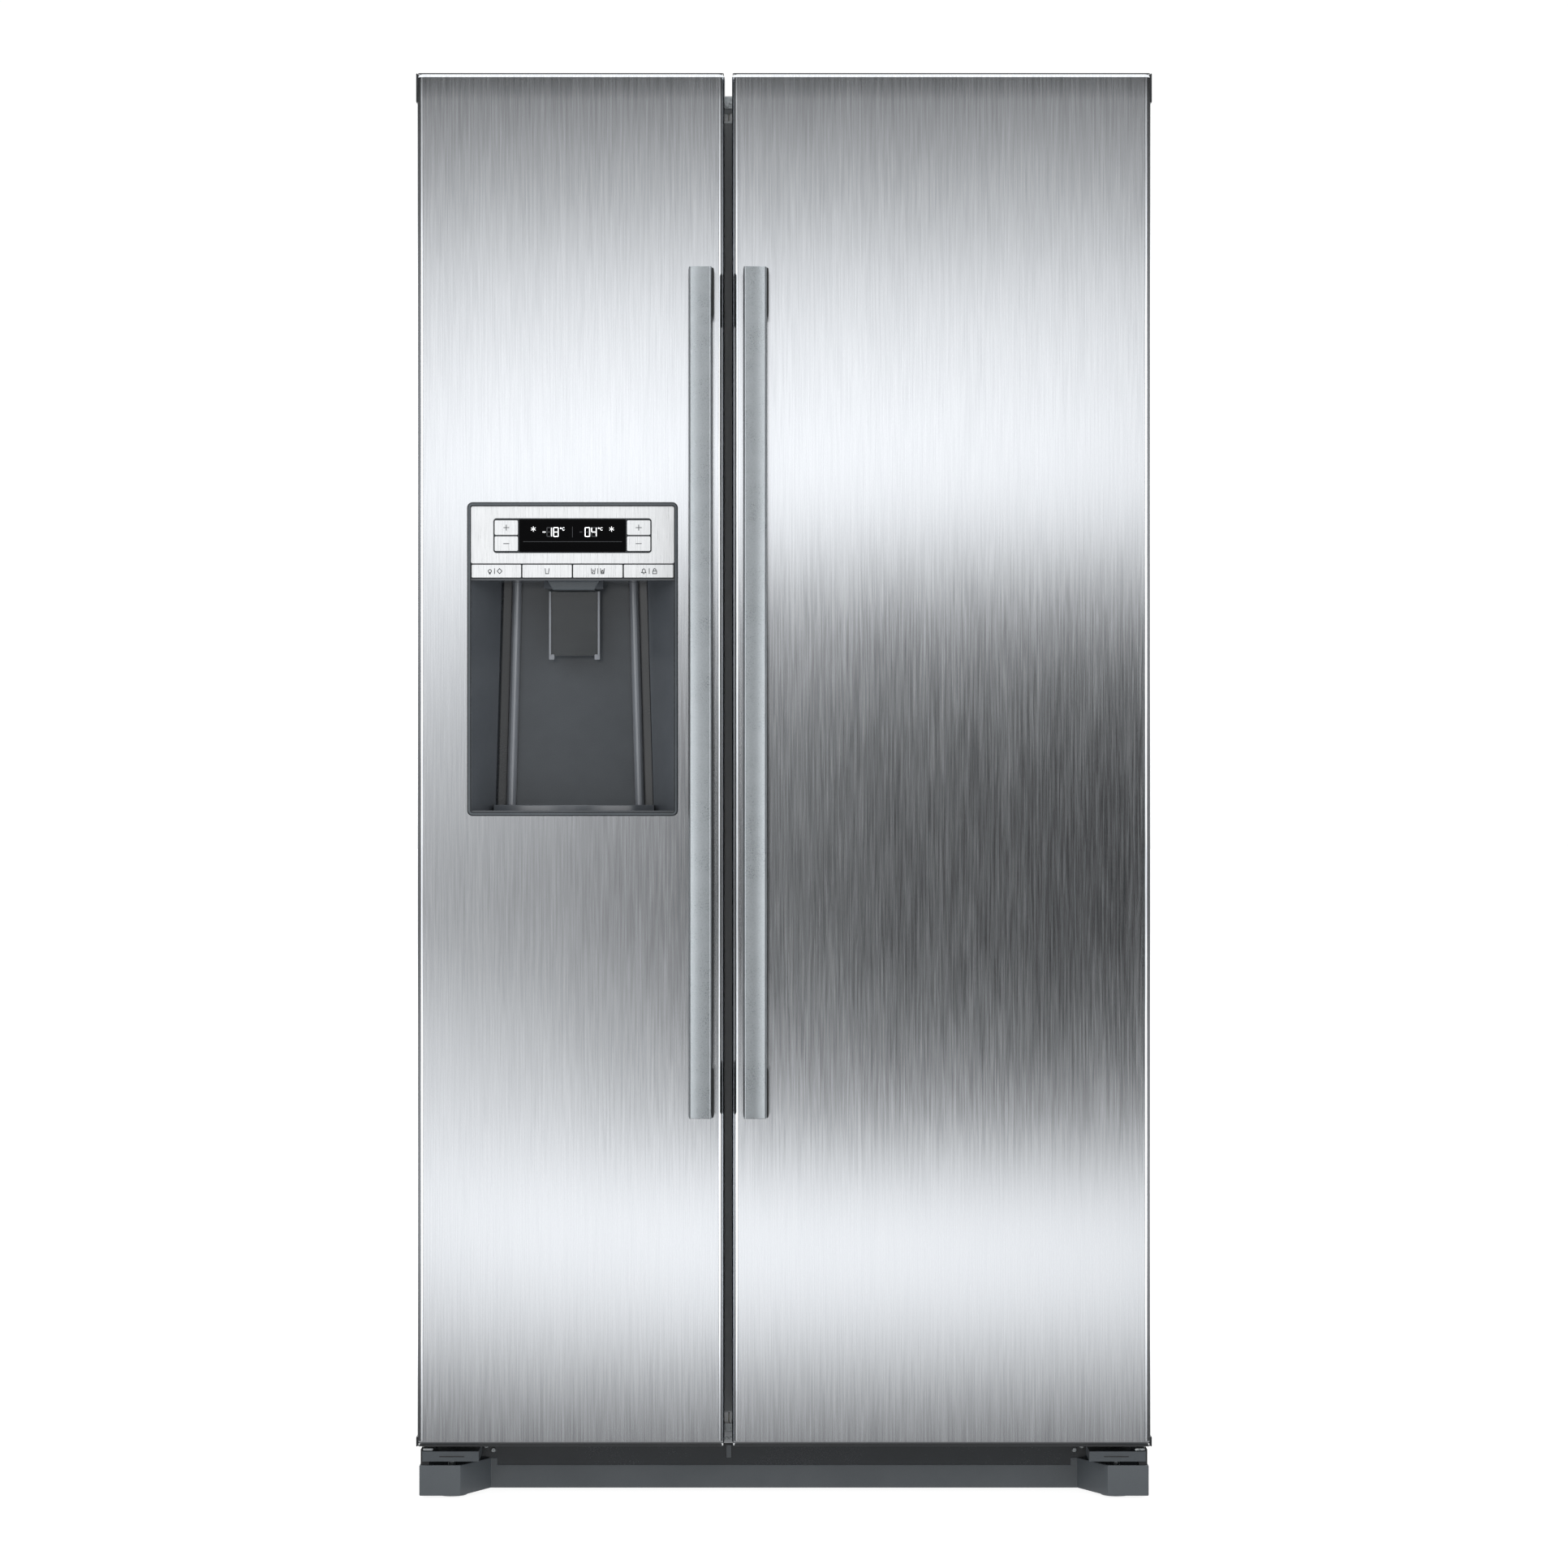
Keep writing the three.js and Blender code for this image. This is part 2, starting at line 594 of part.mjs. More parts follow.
// Foam-filled inner door: a block inside the skin and the raised inner panel with its dikes.
function doorLiner(toFree, width, roomEdge, dikes) {
  const u = (a, b) => [toFree * a, toFree * b];
  const side = SKIN + GAP;
  const block = prismZ(doorPlan(toFree, width, side, DOOR_BACK), [side, doorHeight - side]);
  const [u0, u1] = [LINER_HINGE_INSET, roomEdge - LINER_FREE_GAP];
  const [z0, z1] = [FLOOR + LINER_END_GAP - DOOR_BOTTOM, ceiling - LINER_END_GAP - DOOR_BOTTOM];
  const raised = box(u(u0, u1), [DOOR_BACK - 1, panelFace], [z0, z1]);
  const back = panelFace + DIKE_RAISE;
  const ribs = dikes.flatMap(([a, b]) => [
    box(u(u0, u0 + DIKE_W), [DOOR_BACK, back], [a, b]),
    box(u(u1 - DIKE_W, u1), [DOOR_BACK, back], [a, b]),
  ]);
  const notch = box(u(-1, NOTCH_W), [NOTCH_FRONT, DOOR_BACK + 1], [notchBottom - GAP, doorHeight + 1]);
  const at = [toFree * PIN_INSET, pinBack];
  const topHole = rod("z", PIN_R + PIN_PLAY, at, [notchBottom - PIN_REACH, notchBottom + 1]);
  const bottomHole = rod("z", PIN_R + PIN_PLAY, at, [-1, PIN_REACH + 4]);
  const collarRoom = rod("z", PIN_R + 5, at, [-1, 3]);
  return cut(add(block, raised, ...ribs), notch, topHole, bottomHole, collarRoom);
}

function gasket(toFree, width) {
  const ring = (inset) =>
    box(
      [toFree * (GASKET_HINGE_INSET + inset), toFree * (width - GASKET_FREE_INSET - inset)],
      [DOOR_BACK + GAP - (inset ? 1 : 0), caseFront - GAP + (inset ? 1 : 0)],
      [GASKET_BOTTOM_RISE + inset, caseTop - 4 - DOOR_BOTTOM - inset],
    );
  return cut(ring(0), ring(GASKET_W));
}

// Bar handle on two feet.
function handle(toFree, width) {
  const middle = toFree * (width - HANDLE_EDGE - HANDLE_W / 2);
  const top = doorHeight - HANDLE_TOP_DROP;
  const bottom = top - HANDLE_LENGTH;
  const front = -(HANDLE_STANDOFF + HANDLE_THICK);
  const [left, right] = [middle - HANDLE_W / 2, middle + HANDLE_W / 2];
  const section = [
    [left, -HANDLE_STANDOFF],
    ...corner([left + HANDLE_R, front + HANDLE_R], HANDLE_R, 180, 270),
    ...corner([right - HANDLE_R, front + HANDLE_R], HANDLE_R, 270, 360),
    [right, -HANDLE_STANDOFF],
  ];
  const shifted = middle + HANDLE_FOOT_SHIFT;
  const footX = [shifted - HANDLE_FOOT_W / 2, shifted + HANDLE_FOOT_W / 2];
  const foot = (z0) => box(footX, [-HANDLE_STANDOFF - 3, -GAP], [z0, z0 + HANDLE_FOOT_H]);
  return add(prismZ(section, [bottom, top]), foot(bottom + 4), foot(top - HANDLE_FOOT_H - 1));
}

// Where a door bin stands between the dikes, as a range of u.
function binRange(roomEdge) {
  return [LINER_HINGE_INSET + DIKE_W + 1.5, roomEdge - LINER_FREE_GAP - DIKE_W - 1.5];
}

function doorBin(toFree, roomEdge, z, height, reach) {
  const [a, b] = binRange(roomEdge).map((u) => toFree * u);
  const x = [Math.min(a, b), Math.max(a, b)];
  const low = z - DOOR_BOTTOM;
  return tub(x, [panelFace + GAP, reach], [low, low + height], BIN_WALL);
}

// ---------------------------------------------------------------- dispenser
// Its own frame: x from the middle, y from the door's front face, z from the bottom of the frame.

const nicheHalf = frameWidth / 2 - FRAME_BAND + 0.5;
const shellHalf = nicheHalf + NICHE_WALL;
const shellTop = FRAME_H - FRAME_BAND + NICHE_WALL;
const shellBottom = FRAME_BAND - NICHE_WALL;
const windowHalf = frameWidth / 2 - WINDOW_MARGIN;

// Side view of the ice chute as [y, z] points: a front and a back wall that lean from the niche to the bulge.
function chuteProfile(inset, overrun) {
  const [low, high] = [CHUTE_MOUTH, FRAME_H + BULGE_ABOVE - 1];
  const along = (y0, y1, z) => y0 + ((y1 - y0) * (z - low)) / (high - low);
  const front = (z) => [along(CHUTE_FRONT, CHUTE_FRONT + CHUTE_LEAN, z) + inset, z];
  const back = (z) => [along(CHUTE_FRONT + CHUTE_DEEP, bulgeBack - 6, z) - inset, z];
  return [front(low - overrun), back(low - overrun), back(high + overrun), front(high + overrun)];
}

function chuteSpace() {
  return prismX(chuteProfile(-GAP, 4), [-CHUTE_W / 2 - GAP, CHUTE_W / 2 + GAP]);
}

function iceChute() {
  const outer = prismX(chuteProfile(0, 0), [-CHUTE_W / 2, CHUTE_W / 2]);
  const bore = prismX(chuteProfile(CHUTE_WALL, 2), [-CHUTE_W / 2 + CHUTE_WALL, CHUTE_W / 2 - CHUTE_WALL]);
  return cut(outer, bore);
}

// Niche with its frame, side bolsters that narrow it to a back pocket, and the rising drip tray.
function dispenserHousing() {
  const back = NICHE_DEPTH + NICHE_WALL;
  const shell = box([-shellHalf, shellHalf], [GAP, back], [shellBottom, shellTop]);
  const niche = box([-nicheHalf, nicheHalf], [-1, NICHE_DEPTH], [FRAME_BAND, NICHE_TOP]);
  const keyRoomZ = [NICHE_TOP + NICHE_WALL, FRAME_H - FRAME_BAND];
  const keyRoom = box([-nicheHalf, nicheHalf], [-1, NICHE_DEPTH], keyRoomZ);
  const pocket = frameWidth / 2 - POCKET_MARGIN;
  const bolsters = [-1, 1].map((s) => {
    const outline = [
      [nicheHalf + 1, 8],
      [nicheHalf - 8, 14],
      [pocket + 26, 66],
      [pocket + 12, 70],
      [pocket + 3, 76],
      [pocket, 86],
      [pocket, NICHE_DEPTH + 1],
      [nicheHalf + 1, NICHE_DEPTH + 1],
    ].map(([x, y]) => [s * x, y]);
    return prismZ(outline, [FRAME_BAND - 1, NICHE_TOP + 1]);
  });
  const tray = prismX(
    [
      [4, FRAME_BAND - 1],
      [NICHE_DEPTH + 1, FRAME_BAND - 1],
      [NICHE_DEPTH + 1, FRAME_BAND + TRAY_RISE],
      [4, FRAME_BAND + 2],
    ],
    [-nicheHalf - 1, nicheHalf + 1],
  );
  const ears = [-1, 1].map((s) => {
    const inner = s * (PADDLE_W / 2 + 4.5);
    return box([inner, inner + s * 4], [PADDLE_Y - 4, PADDLE_Y + 4], [CHUTE_MOUTH - 9, NICHE_TOP + 1]);
  });
  const rim = cut(
    box([-frameWidth / 2, frameWidth / 2], [-FRAME_PROUD, GAP + 2], [0, FRAME_H]),
    box([-frameWidth, frameWidth], [-GAP, 10], [-1, shellBottom]),
    box([-frameWidth, frameWidth], [-GAP, 10], [shellTop, FRAME_H + 1]),
    box([-frameWidth, -shellHalf], [-GAP, 10], [-1, FRAME_H + 1]),
    box([shellHalf, frameWidth], [-GAP, 10], [-1, FRAME_H + 1]),
    niche,
    keyRoom,
    box([-nicheHalf, nicheHalf], [-3, 10], [FRAME_BAND, FRAME_H - FRAME_BAND]),
  );
  const hollow = add(cut(shell, niche, keyRoom), ...bolsters, tray, ...ears, rim);
  return cut(hollow, chuteSpace());
}

function controlPanel() {
  const w = nicheHalf - GAP;
  const plate = box([-w, w], [-KEY_PROUD, PANEL_BACK], [PANEL_BOTTOM, FRAME_H - FRAME_BAND - GAP]);
  const windowZ = [WINDOW_BOTTOM, WINDOW_BOTTOM + WINDOW_H];
  const window = box([-windowHalf, windowHalf], [-2, PANEL_BACK + 1], windowZ);
  return cut(plate, window);
}

const displayHalf = windowHalf - TEMP_KEY_W - 2 * KEY_GAP;

function displayWindow() {
  const z = [WINDOW_BOTTOM + GAP, WINDOW_BOTTOM + WINDOW_H - GAP];
  return box([-displayHalf, displayHalf], [-KEY_PROUD, KEY_BACK], z);
}

// side is -1 for the freezer's keys and 1 for the fridge's; row is 0 for minus and 1 for plus.
function temperatureKey(side, row) {
  const outer = side * (windowHalf - KEY_GAP);
  const tall = (WINDOW_H - 3 * KEY_GAP) / 2;
  const z0 = WINDOW_BOTTOM + KEY_GAP + row * (tall + KEY_GAP);
  return box([outer, outer - side * TEMP_KEY_W], [-KEY_PROUD, KEY_BACK], [z0, z0 + tall]);
}

// Four keys in a row under the panel, numbered from the left.
function functionKey(index) {
  const pitch = (2 * nicheHalf - KEY_GAP) / 4;
  const x0 = -nicheHalf + KEY_GAP + pitch * index;
  const z0 = NICHE_TOP + NICHE_WALL + 0.8;
  return box([x0, x0 + pitch - KEY_GAP], [-KEY_PROUD, KEY_BACK], [z0, z0 + FUNCTION_KEY_H]);
}

// Paddle that a glass pushes back: a plate with side flanges on a rod.
function paddle() {
  const top = CHUTE_MOUTH - 2;
  const w = PADDLE_W / 2;
  const plate = box([-w, w], [PADDLE_Y, PADDLE_Y + 3], [top - PADDLE_H, top - 2]);
  const flanges = [-1, 1].map((s) =>
    box([s * w, s * (w - 3)], [PADDLE_Y - 10, PADDLE_Y + 3], [top - PADDLE_H, top - 16]),
  );
  const pivot = rod("x", 2.5, [PADDLE_Y, top - 3], [-w - 4, w + 4], 12);
  return add(plate, ...flanges, pivot);
}

// ---------------------------------------------------------------- inside the compartments

function shelf({ x0, x1 }, z, back) {
  const x = [x0 + 1.5, x1 - 1.5];
  const glass = box(x, [shelfFront, back], [z - SHELF_T, z]);
  const trim = box(x, [shelfFront - 4, shelfFront + 6], [z - SHELF_TRIM + 2, z + 2]);
  return add(glass, trim);
}

// Drawer: a tub with a taller front and a finger lip.
function drawer({ x0, x1 }, z, height, back) {
  const x = [x0 + DRAWER_SIDE_GAP, x1 - DRAWER_SIDE_GAP];
  const body = tub(x, [drawerFront, back], [z, z + height - 12], DRAWER_WALL);
  const front = box(x, [drawerFront - 5, drawerFront + 3], [z, z + height]);
  const lip = box([x[0] + 40, x[1] - 40], [drawerFront - 14, drawerFront], [z + height - 6, z + height]);
  return add(body, front, lip);
}

// Panel in front of the evaporator, closed at the top, with a slot for each height that air passes.
function evaporatorCover() {
  const x = [freezer.x0 + 1, freezer.x1 - 1];
  const z0 = HUMP_TOP + GAP;
  const front = box(x, [coverY, coverY + COVER_T], [z0, coverTop]);
  const top = box(x, [coverY, backWall - GAP], [coverTop - COVER_T, coverTop]);
  const middle = (x[0] + x[1]) / 2;
  const slots = [z0 + 12, z0 + 26, ...[-32, -12, 8, 28].map((dz) => coverTop - FAN_DROP + dz)].map((z) =>
    box([middle - 55, middle + 55], [coverY - 1, coverY + COVER_T + 1], [z, z + 7]),
  );
  return cut(add(front, top), ...slots);
}

function evaporator() {
  const x = [freezer.x0 + 20, freezer.x1 - 20];
  return finBlock(x, [coverY + 10, backWall - 5], [EVAPORATOR_BOTTOM, EVAPORATOR_TOP], 12);
}

// Air duct on the fridge's back wall: a channel with outlet slots in pairs.
function airDuct() {
  const middle = (fridge.x0 + fridge.x1) / 2;
  const [x0, x1] = [middle - DUCT_W / 2, middle + DUCT_W / 2];
  const [y0, y1] = [backWall - DUCT_THICK, backWall - GAP];
  const [z0, z1] = [DRAWER_SHELF_Z + 20, ceiling - DUCT_TOP_DROP];
  const body = box([x0, x1], [y0, y1], [z0, z1]);
  const channel = box([x0 + 3, x1 - 3], [y0 + 3, y1 + 1], [z0 + 3, z1 - 3]);
  const levels = 4;
  const slots = Array.from({ length: levels }, (_, i) => {
    const z = z0 + ((z1 - z0) * (i + 0.5)) / levels;
    return box([middle - 45, middle + 45], [y0 - 1, y0 + 4], [z, z + 10]);
  });
  return cut(body, channel, ...slots);
}

function iceMaker() {
  const middle = (freezer.x0 + freezer.x1) / 2;
  const z1 = ceiling - ICE_MAKER_DROP;
  const z0 = z1 - ICE_MAKER_H;
  const y1 = backWall - ICE_MAKER_BACK;
  const y0 = y1 - ICE_MAKER_LENGTH;
  const motor = box([middle - 60, middle + 60], [y0, y0 + 42], [z0, z1 + 20]);
  const tray = box([middle - 55, middle + 55], [y0 + 40, y1], [z0 + 30, z1]);
  const cups = Array.from({ length: 6 }, (_, i) => {
    const y = y0 + 50 + i * 35;
    return box([middle - 45, middle + 45], [y, y + 29], [z0 + 45, z1 + 1]);
  });
  const hanger = box([middle - 40, middle + 40], [y1 - 20, y1], [z0 + 40, ceiling - GAP]);
  return add(cut(add(motor, tray), ...cups), hanger);
}

// Ice bucket with an outlet at its front over the door's chute.
function iceBucket() {
  const x = [freezer.x0 + DRAWER_SIDE_GAP, freezer.x1 - DRAWER_SIDE_GAP];
  const body = tub(x, [bucketFront, backWall - 40], [bucketZ, bucketZ + BUCKET_H], 3);
  const middle = (x[0] + x[1]) / 2;
  const outletY = [bucketFront + 12, bucketFront + 60];
  const outlet = box([middle - 34, middle + 34], outletY, [bucketZ - 1, bucketZ + 4]);
  return cut(body, outlet);
}

// Lid over the dairy compartment, hinged at its back edge.
function dairyLid(toFree, roomEdge) {
  const [a, b] = binRange(roomEdge).map((u) => toFree * u);
  const z = dairyTop + 2 - DOOR_BOTTOM;
  const y0 = panelFace + 6;
  const top = box([a, b], [y0, binReach], [z, z + LID_T]);
  const lip = box([a, b], [binReach - LID_T, binReach], [z - LID_LIP, z + LID_T]);
  return add(top, lip);
}

// ---------------------------------------------------------------- assembly

const refrigerator = new THREE.Group();

// The whole depth, handles included, is centred on the origin.
const assembly = new THREE.Group();
assembly.position.y = -(DEPTH - HANDLE_STANDOFF - HANDLE_THICK) / 2;
refrigerator.add(assembly);

function buildCabinet() {
  const shelfLedge = (z) => [z - SHELF_T - GAP, shelfFront + 12, coverY - 20];
  const freezerLedges = [
    [ledgeZ.drawers, drawerFront + 10, coverY - 20],
    shelfLedge(DRAWER_SHELF_Z),
    shelfLedge(FREEZER_SHELF_Z),
    [ledgeZ.bucket, drawerFront, coverY - 20],
  ];
  const fridgeLedges = [
    [ledgeZ.drawers, drawerFront + 10, coverY - 20],
    shelfLedge(DRAWER_SHELF_Z),
    shelfLedge(FRIDGE_SHELF_LOW_Z),
    shelfLedge(fridgeShelfHigh),
  ];
  piece(assembly, "outer_case", outerCase(), greySteel);
  piece(assembly, "insulation", insulation(), foam);
  const edge = caseHalf - 3;
  piece(assembly, "freezer_liner", liner(freezer, [-edge, seam - GAP], freezerLedges), whiteLiner);
  piece(assembly, "fridge_liner", liner(fridge, [seam + GAP, edge], fridgeLedges), whiteLiner);
  piece(assembly, "centre_rail", centreRail(), greySteel);
  for (const [name, side] of [["freezer", -1], ["fridge", 1]]) {
    piece(assembly, `top_hinge_${name}`, topHinge(side), zincSteel);
    piece(assembly, `bottom_hinge_${name}`, bottomHinge(side), zincSteel);
  }
}

function buildBase() {
  piece(assembly, "base_chassis", chassis(), blackMetal);
  piece(assembly, "kick_plate", kickPlate(), darkPlastic);
  piece(assembly, "machine_cover", machineCover(), darkPlastic);
  piece(assembly, "compressor", compressor(), blackMetal);
  piece(assembly, "condenser", condenser(), copper);
  for (const [name, side] of [["left", -1], ["right", 1]]) {
    piece(assembly, `front_foot_${name}`, foot(side), darkPlastic);
    piece(assembly, `rear_roller_${name}`, roller(side), darkPlastic);
  }
  const fan = piece(assembly, "condenser_fan", fanBlades(FAN_R, 24), darkPlastic);
  const fanX = -caseHalf + CONDENSER_INSET + CONDENSER_W + FAN_SPACE;
  fan.position.set(fanX, machineMiddle, machineFloor + 110);
  fan.rotation.y = Math.PI / 2;
}

function buildInside() {
  const freezerBack = coverY - 6;
  const fridgeBack = backWall - DUCT_THICK - 6;
  const lowerBack = humpFront - 10;
  piece(assembly, "evaporator_cover", evaporatorCover(), whiteLiner);
  piece(assembly, "evaporator", evaporator(), aluminium);
  piece(assembly, "fridge_air_duct", airDuct(), whiteLiner);
  piece(assembly, "freezer_shelf_lower", shelf(freezer, DRAWER_SHELF_Z, freezerBack), shelfGlass);
  piece(assembly, "freezer_shelf_upper", shelf(freezer, FREEZER_SHELF_Z, freezerBack), shelfGlass);
  piece(assembly, "crisper_shelf", shelf(fridge, DRAWER_SHELF_Z, fridgeBack), shelfGlass);
  piece(assembly, "fridge_shelf_lower", shelf(fridge, FRIDGE_SHELF_LOW_Z, fridgeBack), shelfGlass);
  piece(assembly, "fridge_shelf_upper", shelf(fridge, fridgeShelfHigh, fridgeBack), shelfGlass);
  const drawers = [["freezer_drawer", freezer, freezerBack], ["crisper", fridge, fridgeBack]];
  for (const [name, room, back] of drawers) {
    piece(assembly, `${name}_lower`, drawer(room, FLOOR + 2, LOWER_DRAWER_H, lowerBack), clearPlastic);
    piece(assembly, `${name}_upper`, drawer(room, UPPER_DRAWER_Z, UPPER_DRAWER_H, back), clearPlastic);
  }
  piece(assembly, "ice_maker", iceMaker(), whiteLiner);
  piece(assembly, "ice_bucket", iceBucket(), clearPlastic);
  const fan = piece(assembly, "evaporator_fan", fanBlades(FAN_R * 0.8, 20), darkPlastic);
  fan.position.set((freezer.x0 + freezer.x1) / 2, (coverY + backWall + COVER_T) / 2, coverTop - FAN_DROP);
  fan.rotation.x = Math.PI / 2;
}

function buildDispenser(door) {
  const dispenser = new THREE.Group();
  dispenser.position.set(frameCentre, 0, frameBottom - DOOR_BOTTOM);
  door.add(dispenser);
  piece(dispenser, "dispenser_housing", dispenserHousing(), darkPlastic);
  piece(dispenser, "control_panel", controlPanel(), panelSilver);
  piece(dispenser, "display_window", displayWindow(), blackGlass);
  piece(dispenser, "ice_chute", iceChute(), darkPlastic);
  piece(dispenser, "dispenser_paddle", paddle(), smokedPlastic);
  for (const [name, side] of [["freezer", -1], ["fridge", 1]]) {
    piece(dispenser, `key_${name}_minus`, temperatureKey(side, 0), panelSilver);
    piece(dispenser, `key_${name}_plus`, temperatureKey(side, 1), panelSilver);
  }
  ["light", "crushed_ice", "ice_cubes", "lock"].forEach((name, i) => {
    piece(dispenser, `key_${name}`, functionKey(i), panelSilver);
  });
}

function buildFreezerDoor() {
  const door = new THREE.Group();
  door.position.set(-half, 0, DOOR_BOTTOM);
  assembly.add(door);
  const roomEdge = freezer.x1 + half;
  const [low, high] = [FLOOR + LINER_END_GAP - DOOR_BOTTOM, ceiling - LINER_END_GAP - DOOR_BOTTOM];
  const [bulge0, bulge1] = [bulgeBottom - DOOR_BOTTOM, bulgeTop - DOOR_BOTTOM];
  const dikes = [[low, bulge0 + 1], [freezerBinHigh - DOOR_BOTTOM - 20, high]];
  const bulgeX = [LINER_HINGE_INSET, roomEdge - LINER_FREE_GAP];
  const bulge = box(bulgeX, [DOOR_BACK - 1, bulgeBack], [bulge0, bulge1]);
  const z0 = frameBottom - DOOR_BOTTOM;
  const hole = (margin, y) =>
    box(
      [frameCentre - shellHalf - margin, frameCentre + shellHalf + margin],
      y,
      [z0 + shellBottom - margin, z0 + shellTop + margin],
    );
  const chute = chuteSpace().translate(frameCentre, 0, z0);
  const nicheHole = hole(GAP, [-1, NICHE_DEPTH + NICHE_WALL + GAP]);
  const inner = cut(add(doorLiner(1, FREEZER_DOOR_W, roomEdge, dikes), bulge), nicheHole, chute);
  piece(door, "freezer_door_skin", cut(doorSkin(1, FREEZER_DOOR_W), hole(GAP, [-1, 5])), brushedSteel);
  piece(door, "freezer_door_liner", inner, whiteLiner);
  piece(door, "freezer_door_gasket", gasket(1, FREEZER_DOOR_W), rubber);
  piece(door, "freezer_handle", handle(1, FREEZER_DOOR_W), aluminium);
  piece(door, "freezer_bin_lower", doorBin(1, roomEdge, freezerBinLow, BIN_H, binReach), clearPlastic);
  piece(door, "freezer_bin_upper", doorBin(1, roomEdge, freezerBinHigh, BIN_H, binReach), clearPlastic);
  buildDispenser(door);
}

function buildFridgeDoor() {
  const door = new THREE.Group();
  door.position.set(half, 0, DOOR_BOTTOM);
  assembly.add(door);
  const roomEdge = half - fridge.x0;
  const dikes = [[FLOOR + LINER_END_GAP - DOOR_BOTTOM, ceiling - LINER_END_GAP - DOOR_BOTTOM]];
  piece(door, "fridge_door_skin", doorSkin(-1, fridgeDoorW), brushedSteel);
  piece(door, "fridge_door_liner", doorLiner(-1, fridgeDoorW, roomEdge, dikes), whiteLiner);
  piece(door, "fridge_door_gasket", gasket(-1, fridgeDoorW), rubber);
  piece(door, "fridge_handle", handle(-1, fridgeDoorW), aluminium);
  piece(door, "bottle_bin", doorBin(-1, roomEdge, bottleBinZ, BIN_H, binReach), clearPlastic);
  const dairyBox = doorBin(-1, roomEdge, dairyTop - DAIRY_H, DAIRY_H, binReach - LID_T - 2);
  piece(door, "dairy_box", dairyBox, clearPlastic);
  piece(door, "dairy_lid", dairyLid(-1, roomEdge), clearPlastic);
}

buildCabinet();
buildBase();
buildInside();
buildFreezerDoor();
buildFridgeDoor();

export default refrigerator;
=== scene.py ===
import json
import math

import bmesh
import bpy
from mathutils import Matrix, Vector

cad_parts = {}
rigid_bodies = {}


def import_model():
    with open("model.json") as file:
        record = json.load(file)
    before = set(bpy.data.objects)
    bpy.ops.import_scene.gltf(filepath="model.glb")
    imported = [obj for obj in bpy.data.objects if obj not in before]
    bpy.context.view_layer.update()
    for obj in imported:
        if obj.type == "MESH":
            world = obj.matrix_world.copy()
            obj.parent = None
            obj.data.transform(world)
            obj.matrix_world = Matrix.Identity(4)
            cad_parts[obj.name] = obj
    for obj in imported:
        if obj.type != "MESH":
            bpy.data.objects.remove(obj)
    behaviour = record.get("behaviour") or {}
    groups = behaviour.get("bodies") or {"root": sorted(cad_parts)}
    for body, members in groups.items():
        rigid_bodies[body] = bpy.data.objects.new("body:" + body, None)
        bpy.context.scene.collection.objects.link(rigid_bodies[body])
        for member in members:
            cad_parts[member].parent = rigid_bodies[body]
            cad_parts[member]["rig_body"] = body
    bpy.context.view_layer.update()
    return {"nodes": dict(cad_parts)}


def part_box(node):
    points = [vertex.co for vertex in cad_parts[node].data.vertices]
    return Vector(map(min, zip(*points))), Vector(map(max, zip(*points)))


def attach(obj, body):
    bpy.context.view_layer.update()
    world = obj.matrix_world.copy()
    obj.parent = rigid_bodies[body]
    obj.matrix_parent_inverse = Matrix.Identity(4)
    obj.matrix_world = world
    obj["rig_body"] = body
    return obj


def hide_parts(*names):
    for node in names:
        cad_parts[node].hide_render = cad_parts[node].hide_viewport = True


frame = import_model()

# A side by side refrigerator: brushed steel doors on a painted case, with an ice dispenser in the freezer's
# door. Lengths are in metres. X runs to the right as seen from the front, Y to the back and Z up from the
# floor.

MM = 0.001
X, Y, Z = 0, 1, 2
TINY = 1e-6  # how near to a level plane an edge counts as lying in it
GRAIN = "grain"  # the UV map whose u runs across the brushing
PATTERN_LOW = 0.3  # a noise pattern has nearly all its contrast between these two values
PATTERN_HIGH = 0.7

# ---------------------------------------- materials


def linear(colour):
    """An sRGB hex colour as the linear colour that the shaders take."""
    parts = [int(colour[i : i + 2], 16) / 255 for i in (0, 2, 4)]
    return [p / 12.92 if p <= 0.04045 else ((p + 0.055) / 1.055) ** 2.4 for p in parts] + [1.0]


def add(tree, kind, inputs=None, **settings):
    """Adds a node, sets it, and links or fills its inputs."""
    node = tree.nodes.new("ShaderNode" + kind)
    for name, value in settings.items():
        setattr(node, name, value)
    for key, value in (inputs or {}).items():
        if isinstance(value, bpy.types.NodeSocket):
            tree.links.new(value, node.inputs[key])
        else:
            node.inputs[key].default_value = value
    return node


def begin(name, **uniform):
    """A material with a Principled shader whose even values sit on its own sockets."""
    finish = bpy.data.materials.new(name)
    finish.use_nodes = True
    tree = finish.node_tree
    shader = tree.nodes["Principled BSDF"]
    for key, value in uniform.items():
        shader.inputs[key.replace("_", " ")].default_value = value
    return finish, tree, shader


def stained(tree, shader, pattern, low, high):
    """Colours the surface from one hex colour to another as the pattern rises."""
    ramp = add(tree, "ValToRGB", {"Fac": pattern})
    for stop, place, colour in zip(ramp.color_ramp.elements, (PATTERN_LOW, PATTERN_HIGH), (low, high)):
        stop.position = place
        stop.color = linear(colour)
    tree.links.new(ramp.outputs["Color"], shader.inputs["Base Color"])


def varied(tree, shader, pattern, dark, light, rough):
    """Lets the colour and the roughness both run from one value to another as the pattern rises."""
    stained(tree, shader, pattern, dark, light)
    spread = add(tree, "MapRange", {
        "Value": pattern, "From Min": PATTERN_LOW, "From Max": PATTERN_HIGH,
        "To Min": rough[0], "To Max": rough[1],
    })
    tree.links.new(spread.outputs["Result"], shader.inputs["Roughness"])


